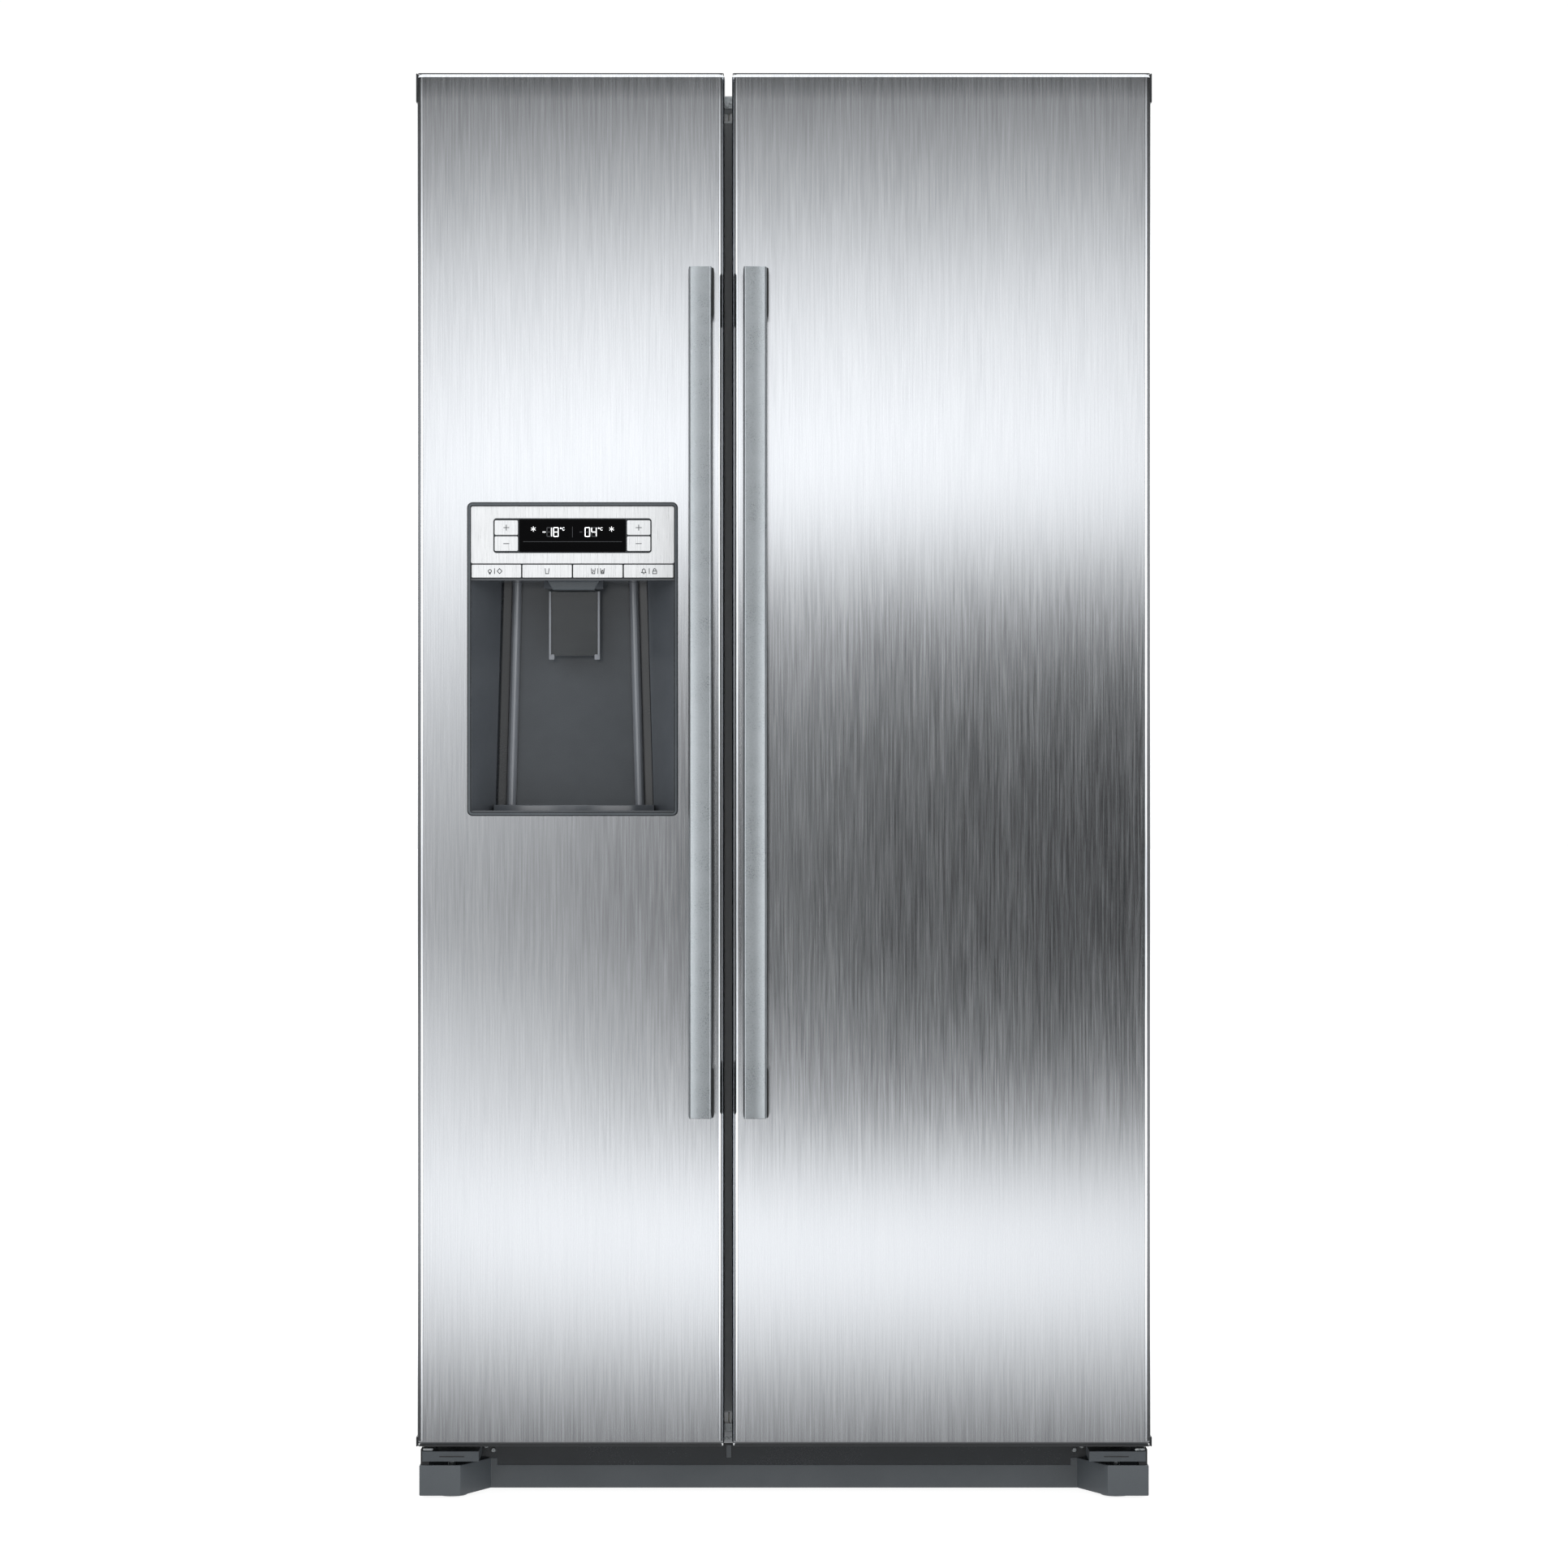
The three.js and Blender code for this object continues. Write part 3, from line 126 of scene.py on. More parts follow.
def embossed(tree, shader, pattern, depth):
    """Raises the surface with the pattern, by a depth in metres."""
    relief = add(tree, "Bump", {"Height": pattern, "Distance": depth, "Strength": 1.0})
    tree.links.new(relief.outputs["Normal"], shader.inputs["Normal"])


def brushed_steel(name, dark, light, rough, streak):
    """Stainless steel sheet, brushed up and down with an abrasive belt. The upright scratches show as fine
    streaks, lighter and darker, and spread what the sheet mirrors to the sides more than up and down."""
    finish, tree, shader = begin(name, Metallic=1.0, Anisotropic=0.8)
    place = add(tree, "TexCoord").outputs["Object"]
    # Streaks 1.4 mm wide and some 70 mm long: the real ones are ten times finer, too fine to show.
    fine = add(tree, "Mapping", {"Vector": place, "Scale": (1 / streak, 1 / streak, 14)})
    scratches = add(tree, "TexNoise", {"Vector": fine.outputs["Vector"], "Scale": 1.0, "Detail": 3.0})
    # Slow differences between strokes, 40 mm wide and 700 mm long.
    slow = add(tree, "Mapping", {"Vector": place, "Scale": (25, 25, 1.4)})
    strokes = add(tree, "TexNoise", {"Vector": slow.outputs["Vector"], "Scale": 1.0, "Detail": 1.0})
    both = add(tree, "Mix", {"Factor": 0.15, "A": scratches.outputs["Fac"], "B": strokes.outputs["Fac"]})
    varied(tree, shader, both.outputs["Result"], dark, light, rough)
    embossed(tree, shader, scratches.outputs["Fac"], 0.0012 * MM)
    across = add(tree, "Tangent", direction_type="UV_MAP", uv_map=GRAIN)
    tree.links.new(across.outputs["Tangent"], shader.inputs["Tangent"])
    return finish


def blasted_aluminium(name, dark, light, rough):
    """Aluminium extrusion, bead-blasted and clear anodised: a soft sheen with a fine even grit."""
    finish, tree, shader = begin(name, Metallic=1.0)
    place = add(tree, "TexCoord").outputs["Object"]
    # Dimples 0.9 mm apart: real bead marks are about 0.15 mm, too fine to show.
    grit = add(tree, "TexNoise", {"Vector": place, "Scale": 1100.0, "Detail": 2.0, "Roughness": 0.7})
    cloud = add(tree, "TexNoise", {"Vector": place, "Scale": 30.0, "Detail": 2.0})
    both = add(tree, "Mix", {"Factor": 0.3, "A": grit.outputs["Fac"], "B": cloud.outputs["Fac"]})
    varied(tree, shader, both.outputs["Result"], dark, light, rough)
    embossed(tree, shader, grit.outputs["Fac"], 0.05 * MM)
    return finish


def moulded_plastic(name, dark, light, rough, grain=1.2, relief=0.02, **uniform):
    """A moulded plastic. The tool leaves a fine pebble grain, and the melt's flow a faint cloudiness."""
    finish, tree, shader = begin(name, **uniform)
    place = add(tree, "TexCoord").outputs["Object"]
    pebbles = add(tree, "TexNoise", {"Vector": place, "Scale": 1000 / grain, "Detail": 2.0})
    flow = add(tree, "TexNoise", {"Vector": place, "Scale": 14.0, "Detail": 3.0, "Roughness": 0.6})
    both = add(tree, "Mix", {"Factor": 0.6, "A": pebbles.outputs["Fac"], "B": flow.outputs["Fac"]})
    varied(tree, shader, both.outputs["Result"], dark, light, rough)
    embossed(tree, shader, pebbles.outputs["Fac"], relief * MM)
    return finish


def clear_plastic(name, tint, rough, see_through):
    """Polystyrene or polycarbonate moulded clear: a hard gloss with a faint tint and slight flow lines."""
    finish, tree, shader = begin(name, IOR=1.52, Alpha=see_through)
    place = add(tree, "TexCoord").outputs["Object"]
    flow = add(tree, "Mapping", {"Vector": place, "Scale": (9, 9, 30)})
    lines = add(tree, "TexNoise", {"Vector": flow.outputs["Vector"], "Scale": 1.0, "Detail": 2.0})
    varied(tree, shader, lines.outputs["Fac"], *tint, rough)
    embossed(tree, shader, lines.outputs["Fac"], 0.15 * MM)
    return finish


def painted_steel(name, dark, light, rough, **uniform):
    """Steel sheet with baked paint: an even colour under a faint orange peel."""
    finish, tree, shader = begin(name, **uniform)
    place = add(tree, "TexCoord").outputs["Object"]
    # The peel's hills lie 2.5 mm apart.
    peel = add(tree, "TexNoise", {"Vector": place, "Scale": 400.0, "Detail": 1.0})
    batch = add(tree, "TexNoise", {"Vector": place, "Scale": 5.0, "Detail": 3.0})
    both = add(tree, "Mix", {"Factor": 0.7, "A": peel.outputs["Fac"], "B": batch.outputs["Fac"]})
    varied(tree, shader, both.outputs["Result"], dark, light, rough)
    embossed(tree, shader, peel.outputs["Fac"], 0.03 * MM)
    return finish


def plated_steel(name, dark, light, rough, crystals=6.0):
    """Zinc-plated or bare pressed metal: grey crystals, duller and brighter, and fine press marks."""
    finish, tree, shader = begin(name, Metallic=1.0)
    place = add(tree, "TexCoord").outputs["Object"]
    spangle = add(tree, "TexVoronoi", {"Vector": place, "Scale": 1000 / crystals, "Randomness": 1.0})
    marks = add(tree, "TexNoise", {"Vector": place, "Scale": 260.0, "Detail": 4.0})
    both = add(tree, "Mix", {"Factor": 0.5, "A": spangle.outputs["Distance"], "B": marks.outputs["Fac"]})
    varied(tree, shader, both.outputs["Result"], dark, light, rough)
    embossed(tree, shader, marks.outputs["Fac"], 0.02 * MM)
    return finish


def toughened_glass(name, tint, see_through):
    """Toughened float glass: clear with a cold green tint and a perfect polish. The shelves' printed grey
    edge is left out.
    """
    finish, tree, shader = begin(name, IOR=1.52, Alpha=see_through)
    place = add(tree, "TexCoord").outputs["Object"]
    smear = add(tree, "TexNoise", {"Vector": place, "Scale": 11.0, "Detail": 4.0, "Distortion": 0.6})
    varied(tree, shader, smear.outputs["Fac"], *tint, (0.02, 0.07))
    return finish


def lit(name, colour, strength):
    """A lamp lens or display segment that glows, a little uneven from the diodes behind it."""
    finish, tree, shader = begin(name, Roughness=0.4, Emission_Strength=strength)
    place = add(tree, "TexCoord").outputs["Object"]
    spots = add(tree, "TexNoise", {"Vector": place, "Scale": 180.0, "Detail": 1.0})
    stained(tree, shader, spots.outputs["Fac"], *colour)
    glow = add(tree, "ValToRGB", {"Fac": spots.outputs["Fac"]})
    for stop, shade in zip(glow.color_ramp.elements, colour):
        stop.color = linear(shade)
    tree.links.new(glow.outputs["Color"], shader.inputs["Emission Color"])
    return finish


def lacquered_plastic(name, dark, light, rough):
    """Silver lacquer on a plastic panel, under a clear coat, with fine upright brushing: nearly white."""
    finish, tree, shader = begin(name, Metallic=0.25, Coat_Weight=0.3, Coat_Roughness=0.08)
    place = add(tree, "TexCoord").outputs["Object"]
    # Lines 1.2 mm wide and 30 mm long.
    fine = add(tree, "Mapping", {"Vector": place, "Scale": (830, 830, 33)})
    lines = add(tree, "TexNoise", {"Vector": fine.outputs["Vector"], "Scale": 1.0, "Detail": 2.0})
    varied(tree, shader, lines.outputs["Fac"], dark, light, rough)
    embossed(tree, shader, lines.outputs["Fac"], 0.01 * MM)
    return finish


STEEL = brushed_steel("brushed_stainless_steel", "c0c3c7", "d6d9dd", (0.105, 0.14), 1.4 * MM)
HANDLE = blasted_aluminium("anodised_aluminium", "9da3a7", "b6bcc0", (0.26, 0.32))
CAP = moulded_plastic("satin_abs_caps", "1b1d1f", "232629", (0.36, 0.46))
# Black for the handles' mounts and for the spine behind each bar; on the spine, and where the mounts show
# past the bar, it is painted shadow.
MOUNT_AND_SHADOW_BLACK = moulded_plastic("black_nylon_mounts_and_painted_shadow", "141516", "1b1d1e", (0.38, 0.48))
SLATE = moulded_plastic("gloss_slate_abs", "4a4e53", "54585d", (0.14, 0.2), relief=0.006, Coat_Weight=0.15)
POCKET = moulded_plastic("deep_slate_abs", "3a3f44", "454a4f", (0.16, 0.24), relief=0.006)
# A lighter grey for the niche's ribs, where it paints the highlights they catch, and for the paddle's rails.
RIBS = moulded_plastic("gloss_grey_abs_ribs", "73777d", "7f8389", (0.14, 0.2), relief=0.006)
KICK = moulded_plastic("satin_slate_abs", "44494d", "4d5256", (0.34, 0.44))
RIM_DARK = moulded_plastic("rim_dark_abs", "1d2124", "262a2e", (0.2, 0.3), relief=0.006)
RIM_LIGHT = moulded_plastic("rim_grey_abs", "474d52", "555b60", (0.18, 0.26), relief=0.006)
DISPLAY = moulded_plastic(
    "black_acrylic", "030304", "060607", (0.04, 0.07), grain=4, relief=0.001, Specular_IOR_Level=0.02
)
UNLIT = moulded_plastic("unlit_segments", "303336", "3a3d40", (0.1, 0.2))
GLOW = lit("lit_segments", ("f2f6f8", "ffffff"), 0.9)
PRINT = moulded_plastic("grey_screen_print", "34383b", "45494c", (0.4, 0.5), grain=0.4)
LINER = moulded_plastic("white_polystyrene", "e9ebec", "f3f4f5", (0.22, 0.3), relief=0.01, IOR=1.59)
DOOR_LINER = moulded_plastic("white_abs_door_liner", "e6e8e9", "f1f2f3", (0.24, 0.34), relief=0.01)
GASKET = moulded_plastic("grey_soft_pvc", "54585b", "62666a", (0.55, 0.68), grain=0.6)
FOAM = moulded_plastic("polyurethane_foam", "cfc08b", "e3d7a6", (0.85, 0.95), grain=2.2, relief=0.4)
NYLON = moulded_plastic("black_nylon_wheels", "17181a", "202225", (0.42, 0.54))
TRIM = moulded_plastic("silver_polystyrene_trim", "b8bcbe", "c9cccf", (0.24, 0.34), Metallic=0.3)
CASE = painted_steel("grey_painted_steel", "8b8e91", "94979a", (0.3, 0.4), Coat_Weight=0.1)
BLACK_STEEL = painted_steel("black_dipped_steel", "1c1d1e", "27282a", (0.35, 0.5))
DIPPED = painted_steel("slate_dipped_steel", "393e42", "42474b", (0.3, 0.42))
RAIL = painted_steel("pale_painted_rail", "a9acae", "b4b7b9", (0.3, 0.42))
ZINC = plated_steel("zinc_plated_steel", "8f9496", "b9bdbf", (0.26, 0.42))
SCREW = plated_steel("dark_chromate_screws", "5b5f62", "7c8083", (0.24, 0.36), 3.0)
FINS = plated_steel("aluminium_fins", "a5a9ab", "c8cbcd", (0.3, 0.45), 9.0)
CLEAR = clear_plastic("clear_polystyrene", ("e4eef0", "f2f7f8"), (0.05, 0.1), 0.34)
SMOKED = clear_plastic("smoked_polycarbonate", ("25292b", "303437"), (0.08, 0.16), 0.92)
GLASS = toughened_glass("toughened_glass", ("b9d2cb", "cde0da"), 0.3)
LAMP = lit("lamp_lens", ("f4f6f4", "ffffff"), 1.6)
PANEL = lacquered_plastic("silver_lacquered_panel", "d5d7d9", "e4e6e8", (0.26, 0.36))

# ---------------------------------------- making pieces


def block(mesh, low, high):
    """Adds a cuboid between two corners and returns its vertices."""
    made = bmesh.ops.create_cube(mesh, size=1)["verts"]
    bmesh.ops.scale(mesh, vec=[b - a for a, b in zip(low, high)], verts=made)
    bmesh.ops.translate(mesh, vec=[(a + b) / 2 for a, b in zip(low, high)], verts=made)
    return made


def rounded_block(mesh, low, high, radius, segments=2, axis=None):
    """Adds a cuboid with rounded edges, all of them or those along one axis."""
    round_off(mesh, edges_of(mesh, block(mesh, low, high), axis), radius, segments)


def rod(mesh, start, end, radius, segments, end_radius=None):
    """Adds a closed round bar, or a cone, between two points and returns its vertices."""
    start, end = Vector(start), Vector(end)
    far = radius if end_radius is None else end_radius
    made = bmesh.ops.create_cone(
        mesh, cap_ends=True, segments=segments, radius1=radius, radius2=far, depth=(end - start).length
    )["verts"]
    turn = Vector((0, 0, 1)).rotation_difference(end - start).to_matrix().to_4x4()
    bmesh.ops.transform(mesh, matrix=Matrix.Translation((start + end) / 2) @ turn, verts=made)
    return made


def vertices_in(parts):
    """The vertices among what an operator made."""
    return [part for part in parts if isinstance(part, bmesh.types.BMVert)]


def prism(mesh, outline, axis, start, end):
    """Extrudes a closed outline, given in the other two axes' order, along one axis."""
    corners = []
    for a, b in outline:
        point = [a, b]
        point.insert(axis, start)
        corners.append(mesh.verts.new(point))
    face = mesh.faces.new(corners)
    made = vertices_in(bmesh.ops.extrude_face_region(mesh, geom=[face])["geom"])
    way = [0, 0, 0]
    way[axis] = end - start
    bmesh.ops.translate(mesh, vec=way, verts=made)
    return corners + made


def edges_of(mesh, verts, axis=None, where=None):
    """The edges between these vertices, those along one axis only, or those whose middle passes a test."""
    among = set(verts)
    found = []
    for edge in mesh.edges:
        a, b = edge.verts
        if a not in among or b not in among:
            continue
        if axis is not None and abs((b.co - a.co).normalized()[axis]) < 0.999:
            continue
        if where is None or where((a.co + b.co) / 2):
            found.append(edge)
    return found


def round_off(mesh, edges, radius, segments=4):
    """Rounds edges with a radius."""
    return bmesh.ops.bevel(
        mesh, geom=edges, offset=radius, offset_type="OFFSET", segments=segments, profile=0.5,
        affect="EDGES", material=-1, clamp_overlap=True,
    )


def sink(mesh, faces, depth):
    """Opens a hole where these faces are, with walls that run back by a depth."""
    walls = bmesh.ops.extrude_face_region(mesh, geom=faces)["geom"]
    bmesh.ops.translate(mesh, vec=(0, depth, 0), verts=vertices_in(walls))
    spare = [f for f in walls if isinstance(f, bmesh.types.BMFace)] + [f for f in faces if f.is_valid]
    bmesh.ops.delete(mesh, geom=spare, context="FACES_ONLY")


def piece(name, mesh, finishes, body, stands_for=(), soften=0, angle=30):
    """Makes the mesh an object that moves with a body, with softened edges and level faces."""
    bmesh.ops.remove_doubles(mesh, verts=mesh.verts, dist=0.001 * MM)
    bmesh.ops.recalc_face_normals(mesh, faces=mesh.faces)
    across = mesh.loops.layers.uv.new(GRAIN)
    for face in mesh.faces:
        for corner in face.loops:
            corner[across].uv = (corner.vert.co.x + corner.vert.co.y, corner.vert.co.z)
    shape = bpy.data.meshes.new(name)
    mesh.to_mesh(shape)
    mesh.free()
    for finish in finishes if isinstance(finishes, (list, tuple)) else [finishes]:
        shape.materials.append(finish)
    shape.shade_smooth()
    made = bpy.data.objects.new(name, shape)
    bpy.context.scene.collection.objects.link(made)
    if soften:
        edge = made.modifiers.new("edges", "BEVEL")
        edge.width = soften
        edge.segments = 2
        edge.limit_method = "ANGLE"
        edge.angle_limit = math.radians(angle)
        edge.use_clamp_overlap = True
    else:
        shape.set_sharp_from_angle(angle=math.radians(angle))
    level = made.modifiers.new("faces", "WEIGHTED_NORMAL")
    level.keep_sharp = True
    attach(made, body)
    if stands_for:
        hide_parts(*stands_for)
    return made


def softened(node, finishes, width, tuck=0, lift=0, name=None):
    """A copy of a CAD node with its edges rounded, which stands for it. A tuck moves its front face back by
    so much, out of the way of a rounder piece in front. With a lift and a name it is one more piece of the
    same shape, higher up. A width of 0 leaves the edges alone."""
    mesh = bmesh.new()
    mesh.from_mesh(frame["nodes"][node].data)
    bmesh.ops.remove_doubles(mesh, verts=mesh.verts, dist=0.002 * MM)
    if width:
        bmesh.ops.dissolve_limit(mesh, angle_limit=math.radians(0.5), verts=mesh.verts, edges=mesh.edges)
    front = min(v.co.y for v in mesh.verts)
    for v in mesh.verts:
        v.co.z += lift
        if v.co.y < front + 2 * MM:
            v.co.y += tuck
    body = frame["nodes"][node]["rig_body"]
    stands_for = [] if name else [node]
    return piece(name or node + "_look", mesh, finishes, body, stands_for, width, 35)


# ---------------------------------------- camera and light

DOOR_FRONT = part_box("fridge_door_skin")[0].y
CAMERA_REACH = 6.0
CAMERA_HEIGHT = 0.888
FRAME_WIDTH = 1.9437  # what the camera takes in at the doors' front
SENSOR = 36.0

lens = bpy.data.cameras.new("camera")
lens.sensor_width = SENSOR
lens.lens = SENSOR * CAMERA_REACH / FRAME_WIDTH
lens.clip_end = 200
camera = bpy.data.objects.new("camera", lens)
camera.location = (0, DOOR_FRONT - CAMERA_REACH, CAMERA_HEIGHT)
camera.rotation_euler = (math.radians(90), 0, 0)
bpy.context.scene.collection.objects.link(camera)
bpy.context.scene.camera = camera
bpy.context.scene.view_settings.view_transform = "Standard"

# What the doors mirror, by the share of a ray that goes up: two long soft boxes, one high and one low, with
# a dark room between them on the right and a pale wall between them on the left.
LEFT_ROOM = [
    (-0.20, 0.06), (-0.150, 0.02), (-0.126, 0.50), (-0.108, 1.45), (-0.088, 1.98), (-0.058, 1.60),
    (-0.026, 0.80), (0.006, 1.20), (0.034, 1.75), (0.062, 2.02), (0.094, 1.50), (0.125, 0.66), (0.15, 0.16),
    (0.20, 0.05),
]
RIGHT_ROOM = [
    (-0.20, 0.06), (-0.150, 0.02), (-0.126, 0.50), (-0.108, 1.60), (-0.092, 1.90), (-0.066, 0.2),
    (-0.048, 0.0), (0.000, 0.0), (0.03, 0.12), (0.062, 1.85), (0.094, 1.45), (0.125, 0.66), (0.15, 0.18),
    (0.20, 0.05),
]
ROOM_SPAN = 0.2
BRIGHTEST = 3.0
# How bright that is by the share of a ray that goes sideways: full ahead, dimmer beside, and a side box on
# each side.
SIDES = [
    (0.0, 1.0), (0.09, 0.95), (0.14, 0.4), (0.22, 0.55), (0.32, 1.0), (0.42, 1.7), (0.66, 1.7), (0.78, 0.3),
    (1.0, 0.2),
]
# What is mirrored further down and further up: a floor that is palest some way off, and a bright ceiling.
FLOOR_TO_CEILING = [
    (-1.0, 0.1), (-0.72, 0.2), (-0.4, 0.5), (-0.22, 0.4), (0.2, 0.16), (0.27, 1.6), (1.0, 1.6),
]
WALLS_MEET = (-0.078, -0.002)  # the shares to the right between which the one wall gives way to the other
DARK_ENDS = (0.24, 0.12)  # past the first share sideways the left wall's tones hold on both sides
BOXES_END = (0.16, 0.24)  # the shares up or down between which the floor and the ceiling take over
PAGE_WHITE = 1.02  # what the camera sees behind the object


def tones(tree, place, stops, low, high):
    """A grey scale with these stops, each a position between low and high and a strength up to BRIGHTEST."""
    share = add(tree, "MapRange", {"Value": place, "From Min": low, "From Max": high})
    ramp = add(tree, "ValToRGB", {"Fac": share.outputs["Result"]})
    scale = ramp.color_ramp
    scale.interpolation = "EASE"
    while len(scale.elements) < len(stops):
        scale.elements.new(0.5)
    for element, (position, strength) in zip(scale.elements, stops):
        element.position = (position - low) / (high - low)
    for element, (position, strength) in zip(scale.elements, stops):
        element.color = [strength / BRIGHTEST] * 3 + [1]
    return ramp.outputs["Color"]


studio = bpy.data.worlds.new("studio")
studio.use_nodes = True
studio.cycles.sampling_method = "NONE"
bpy.context.scene.world = studio
room = studio.node_tree
room.nodes.clear()
ray = add(room, "SeparateXYZ", {"Vector": add(room, "TexCoord").outputs["Generated"]})
left_wall = tones(room, ray.outputs["Z"], LEFT_ROOM, -ROOM_SPAN, ROOM_SPAN)
right_wall = tones(room, ray.outputs["Z"], RIGHT_ROOM, -ROOM_SPAN, ROOM_SPAN)
sideways = add(room, "Math", {0: ray.outputs["X"]}, operation="ABSOLUTE")
to_right = add(room, "MapRange", {
    "Value": ray.outputs["X"], "From Min": WALLS_MEET[0], "From Max": WALLS_MEET[1],
})
within = add(room, "MapRange", {
    "Value": sideways.outputs["Value"], "From Min": DARK_ENDS[0], "From Max": DARK_ENDS[1],
})
right_share = add(room, "Math", {
    0: to_right.outputs["Result"], 1: within.outputs["Result"],
}, operation="MULTIPLY")
walls = add(room, "Mix", {
    "Factor": right_share.outputs["Value"], "A": left_wall, "B": right_wall,
}, data_type="RGBA")
sides = tones(room, sideways.outputs["Value"], SIDES, 0.0, 1.0)
boxes = add(room, "VectorMath", {0: walls.outputs["Result"], 1: sides}, operation="MULTIPLY")
# Both grey scales are shares of BRIGHTEST, so their product is scaled up once here and once in the strength.
scaled = add(room, "VectorMath", {0: boxes.outputs["Vector"], "Scale": BRIGHTEST}, operation="SCALE")
beyond = tones(room, ray.outputs["Z"], FLOOR_TO_CEILING, -1.0, 1.0)
rise = add(room, "Math", {0: ray.outputs["Z"]}, operation="ABSOLUTE")
past = add(room, "MapRange", {
    "Value": rise.outputs["Value"], "From Min": BOXES_END[0], "From Max": BOXES_END[1],
})
around = add(room, "Mix", {
    "Factor": past.outputs["Result"], "A": scaled.outputs["Vector"], "B": beyond,
}, data_type="RGBA")
seen = add(room, "Background", {"Color": (1, 1, 1, 1), "Strength": PAGE_WHITE})
mirrored = add(room, "Background", {"Color": around.outputs["Result"], "Strength": BRIGHTEST})
path = add(room, "LightPath")
chosen = add(room, "MixShader", {
    0: path.outputs["Is Glossy Ray"], 1: seen.outputs[0], 2: mirrored.outputs[0],
})
add(room, "OutputWorld", {"Surface": chosen.outputs[0]})

FLOOR_REACH = 60
paper = begin(
    "white_paper_floor", Roughness=0.9, Base_Color=(0.25, 0.25, 0.25, 1), Emission_Strength=0.92,
    Emission_Color=(1, 1, 1, 1),
)[0]
ground = bmesh.new()
bmesh.ops.create_grid(ground, x_segments=1, y_segments=1, size=FLOOR_REACH)
sheet = bpy.data.meshes.new("floor")
ground.to_mesh(sheet)
ground.free()
sheet.materials.append(paper)
floor = bpy.data.objects.new("floor", sheet)
bpy.context.scene.collection.objects.link(floor)
floor.visible_glossy = False

# Each light by its place, its turn in degrees, its size in metres and its power in watts.
for name, place, turn, size, power in (
    ("key_light", (-2.4, -4.2, 3.4), (55, 0, -30), 2.4, 46),
    ("fill_light", (2.8, -3.6, 2.2), (68, 0, 38), 2.4, 20),
):
    lamp = bpy.data.lights.new(name, "AREA")
    lamp.size = size
    lamp.energy = power
    light = bpy.data.objects.new(name, lamp)
    light.location = place
    light.rotation_euler = [math.radians(a) for a in turn]
    light.visible_glossy = False
    bpy.context.scene.collection.objects.link(light)

# ---------------------------------------- doors

EDGE_R = 8 * MM
RIM_R = 4.5 * MM
HEM = 3 * MM  # the lower end caps' rims that show past the steel
TOP_HEM = 1.4 * MM
NOTCH_W = 58 * MM  # the corner cut away over each top hinge
NOTCH_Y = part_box("top_hinge_fridge")[0].y - 11 * MM
NOTCH_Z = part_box("fridge_door_skin")[1].z - 34 * MM
CAP_PROUD = 1.5 * MM
CAP_TOP_H = 36 * MM
CAP_BOTTOM_H = 12 * MM
CAP_TUCK = 0.8 * MM  # how far the caps' plates stay inside the steel's sides
CAP_SETBACK = 5 * MM  # and how far behind its front


def span(edge, way, near, far):
    """The two ends, lower first, of a stretch between two distances from an edge, one way or the other."""
    return sorted((edge + way * near, edge + way * far))


def cut(mesh, axis, value):
    """Divides every face that a level plane meets."""
    spot = [0, 0, 0]
    normal = [0, 0, 0]
    spot[axis] = value
    normal[axis] = 1
    whole = list(mesh.verts) + list(mesh.edges) + list(mesh.faces)
    bmesh.ops.bisect_plane(mesh, geom=whole, plane_co=spot, plane_no=normal)


def notch(mesh, low, high, outer):
    """Cuts a door's top corner away over its hinge, and leaves it open to the side and the back."""
    edge = high.x if outer > 0 else low.x
    for axis, value in ((X, edge - outer * NOTCH_W), (Y, NOTCH_Y), (Z, NOTCH_Z)):
        cut(mesh, axis, value)
    mesh.normal_update()

    def in_corner(face):
        x, y, z = face.calc_center_median()
        return abs(x - edge) < NOTCH_W and y > NOTCH_Y and z > NOTCH_Z

    def faces_out(face):
        x, y, _ = face.calc_center_median()
        return abs(x - edge) < MM or y > high.y - MM

    corner = [f for f in mesh.faces if in_corner(f)]
    lid = [f for f in corner if f.normal.z > 0.9]
    bmesh.ops.delete(mesh, geom=[f for f in corner if f not in lid], context="FACES_ONLY")
    lowered = vertices_in(bmesh.ops.extrude_face_region(mesh, geom=lid)["geom"])
    bmesh.ops.delete(mesh, geom=[f for f in lid if f.is_valid], context="FACES_ONLY")
    bmesh.ops.translate(mesh, vec=(0, 0, NOTCH_Z - high.z), verts=lowered)
    open_sides = [f for f in mesh.faces if in_corner(f) and faces_out(f)]
    bmesh.ops.delete(mesh, geom=open_sides, context="FACES_ONLY")
    bmesh.ops.remove_doubles(mesh, verts=mesh.verts, dist=0.01 * MM)


def opening(mesh, low, high, hole):
    """Cuts the dispenser's hole through a door's steel, with straight walls to the back."""
    hole_low, hole_high = hole
    for axis in (X, Z):
        for value in (hole_low[axis], hole_high[axis]):
            cut(mesh, axis, value)
    mesh.normal_update()
    inside = []
    for face in mesh.faces:
        centre = face.calc_center_median()
        if abs(face.normal.y) > 0.9 and all(hole_low[a] < centre[a] < hole_high[a] for a in (X, Z)):
            inside.append(face)
    ahead = [f for f in inside if f.calc_center_median().y < low.y + MM]
    bmesh.ops.delete(mesh, geom=[f for f in inside if f not in ahead], context="FACES_ONLY")
    sink(mesh, ahead, high.y - low.y)


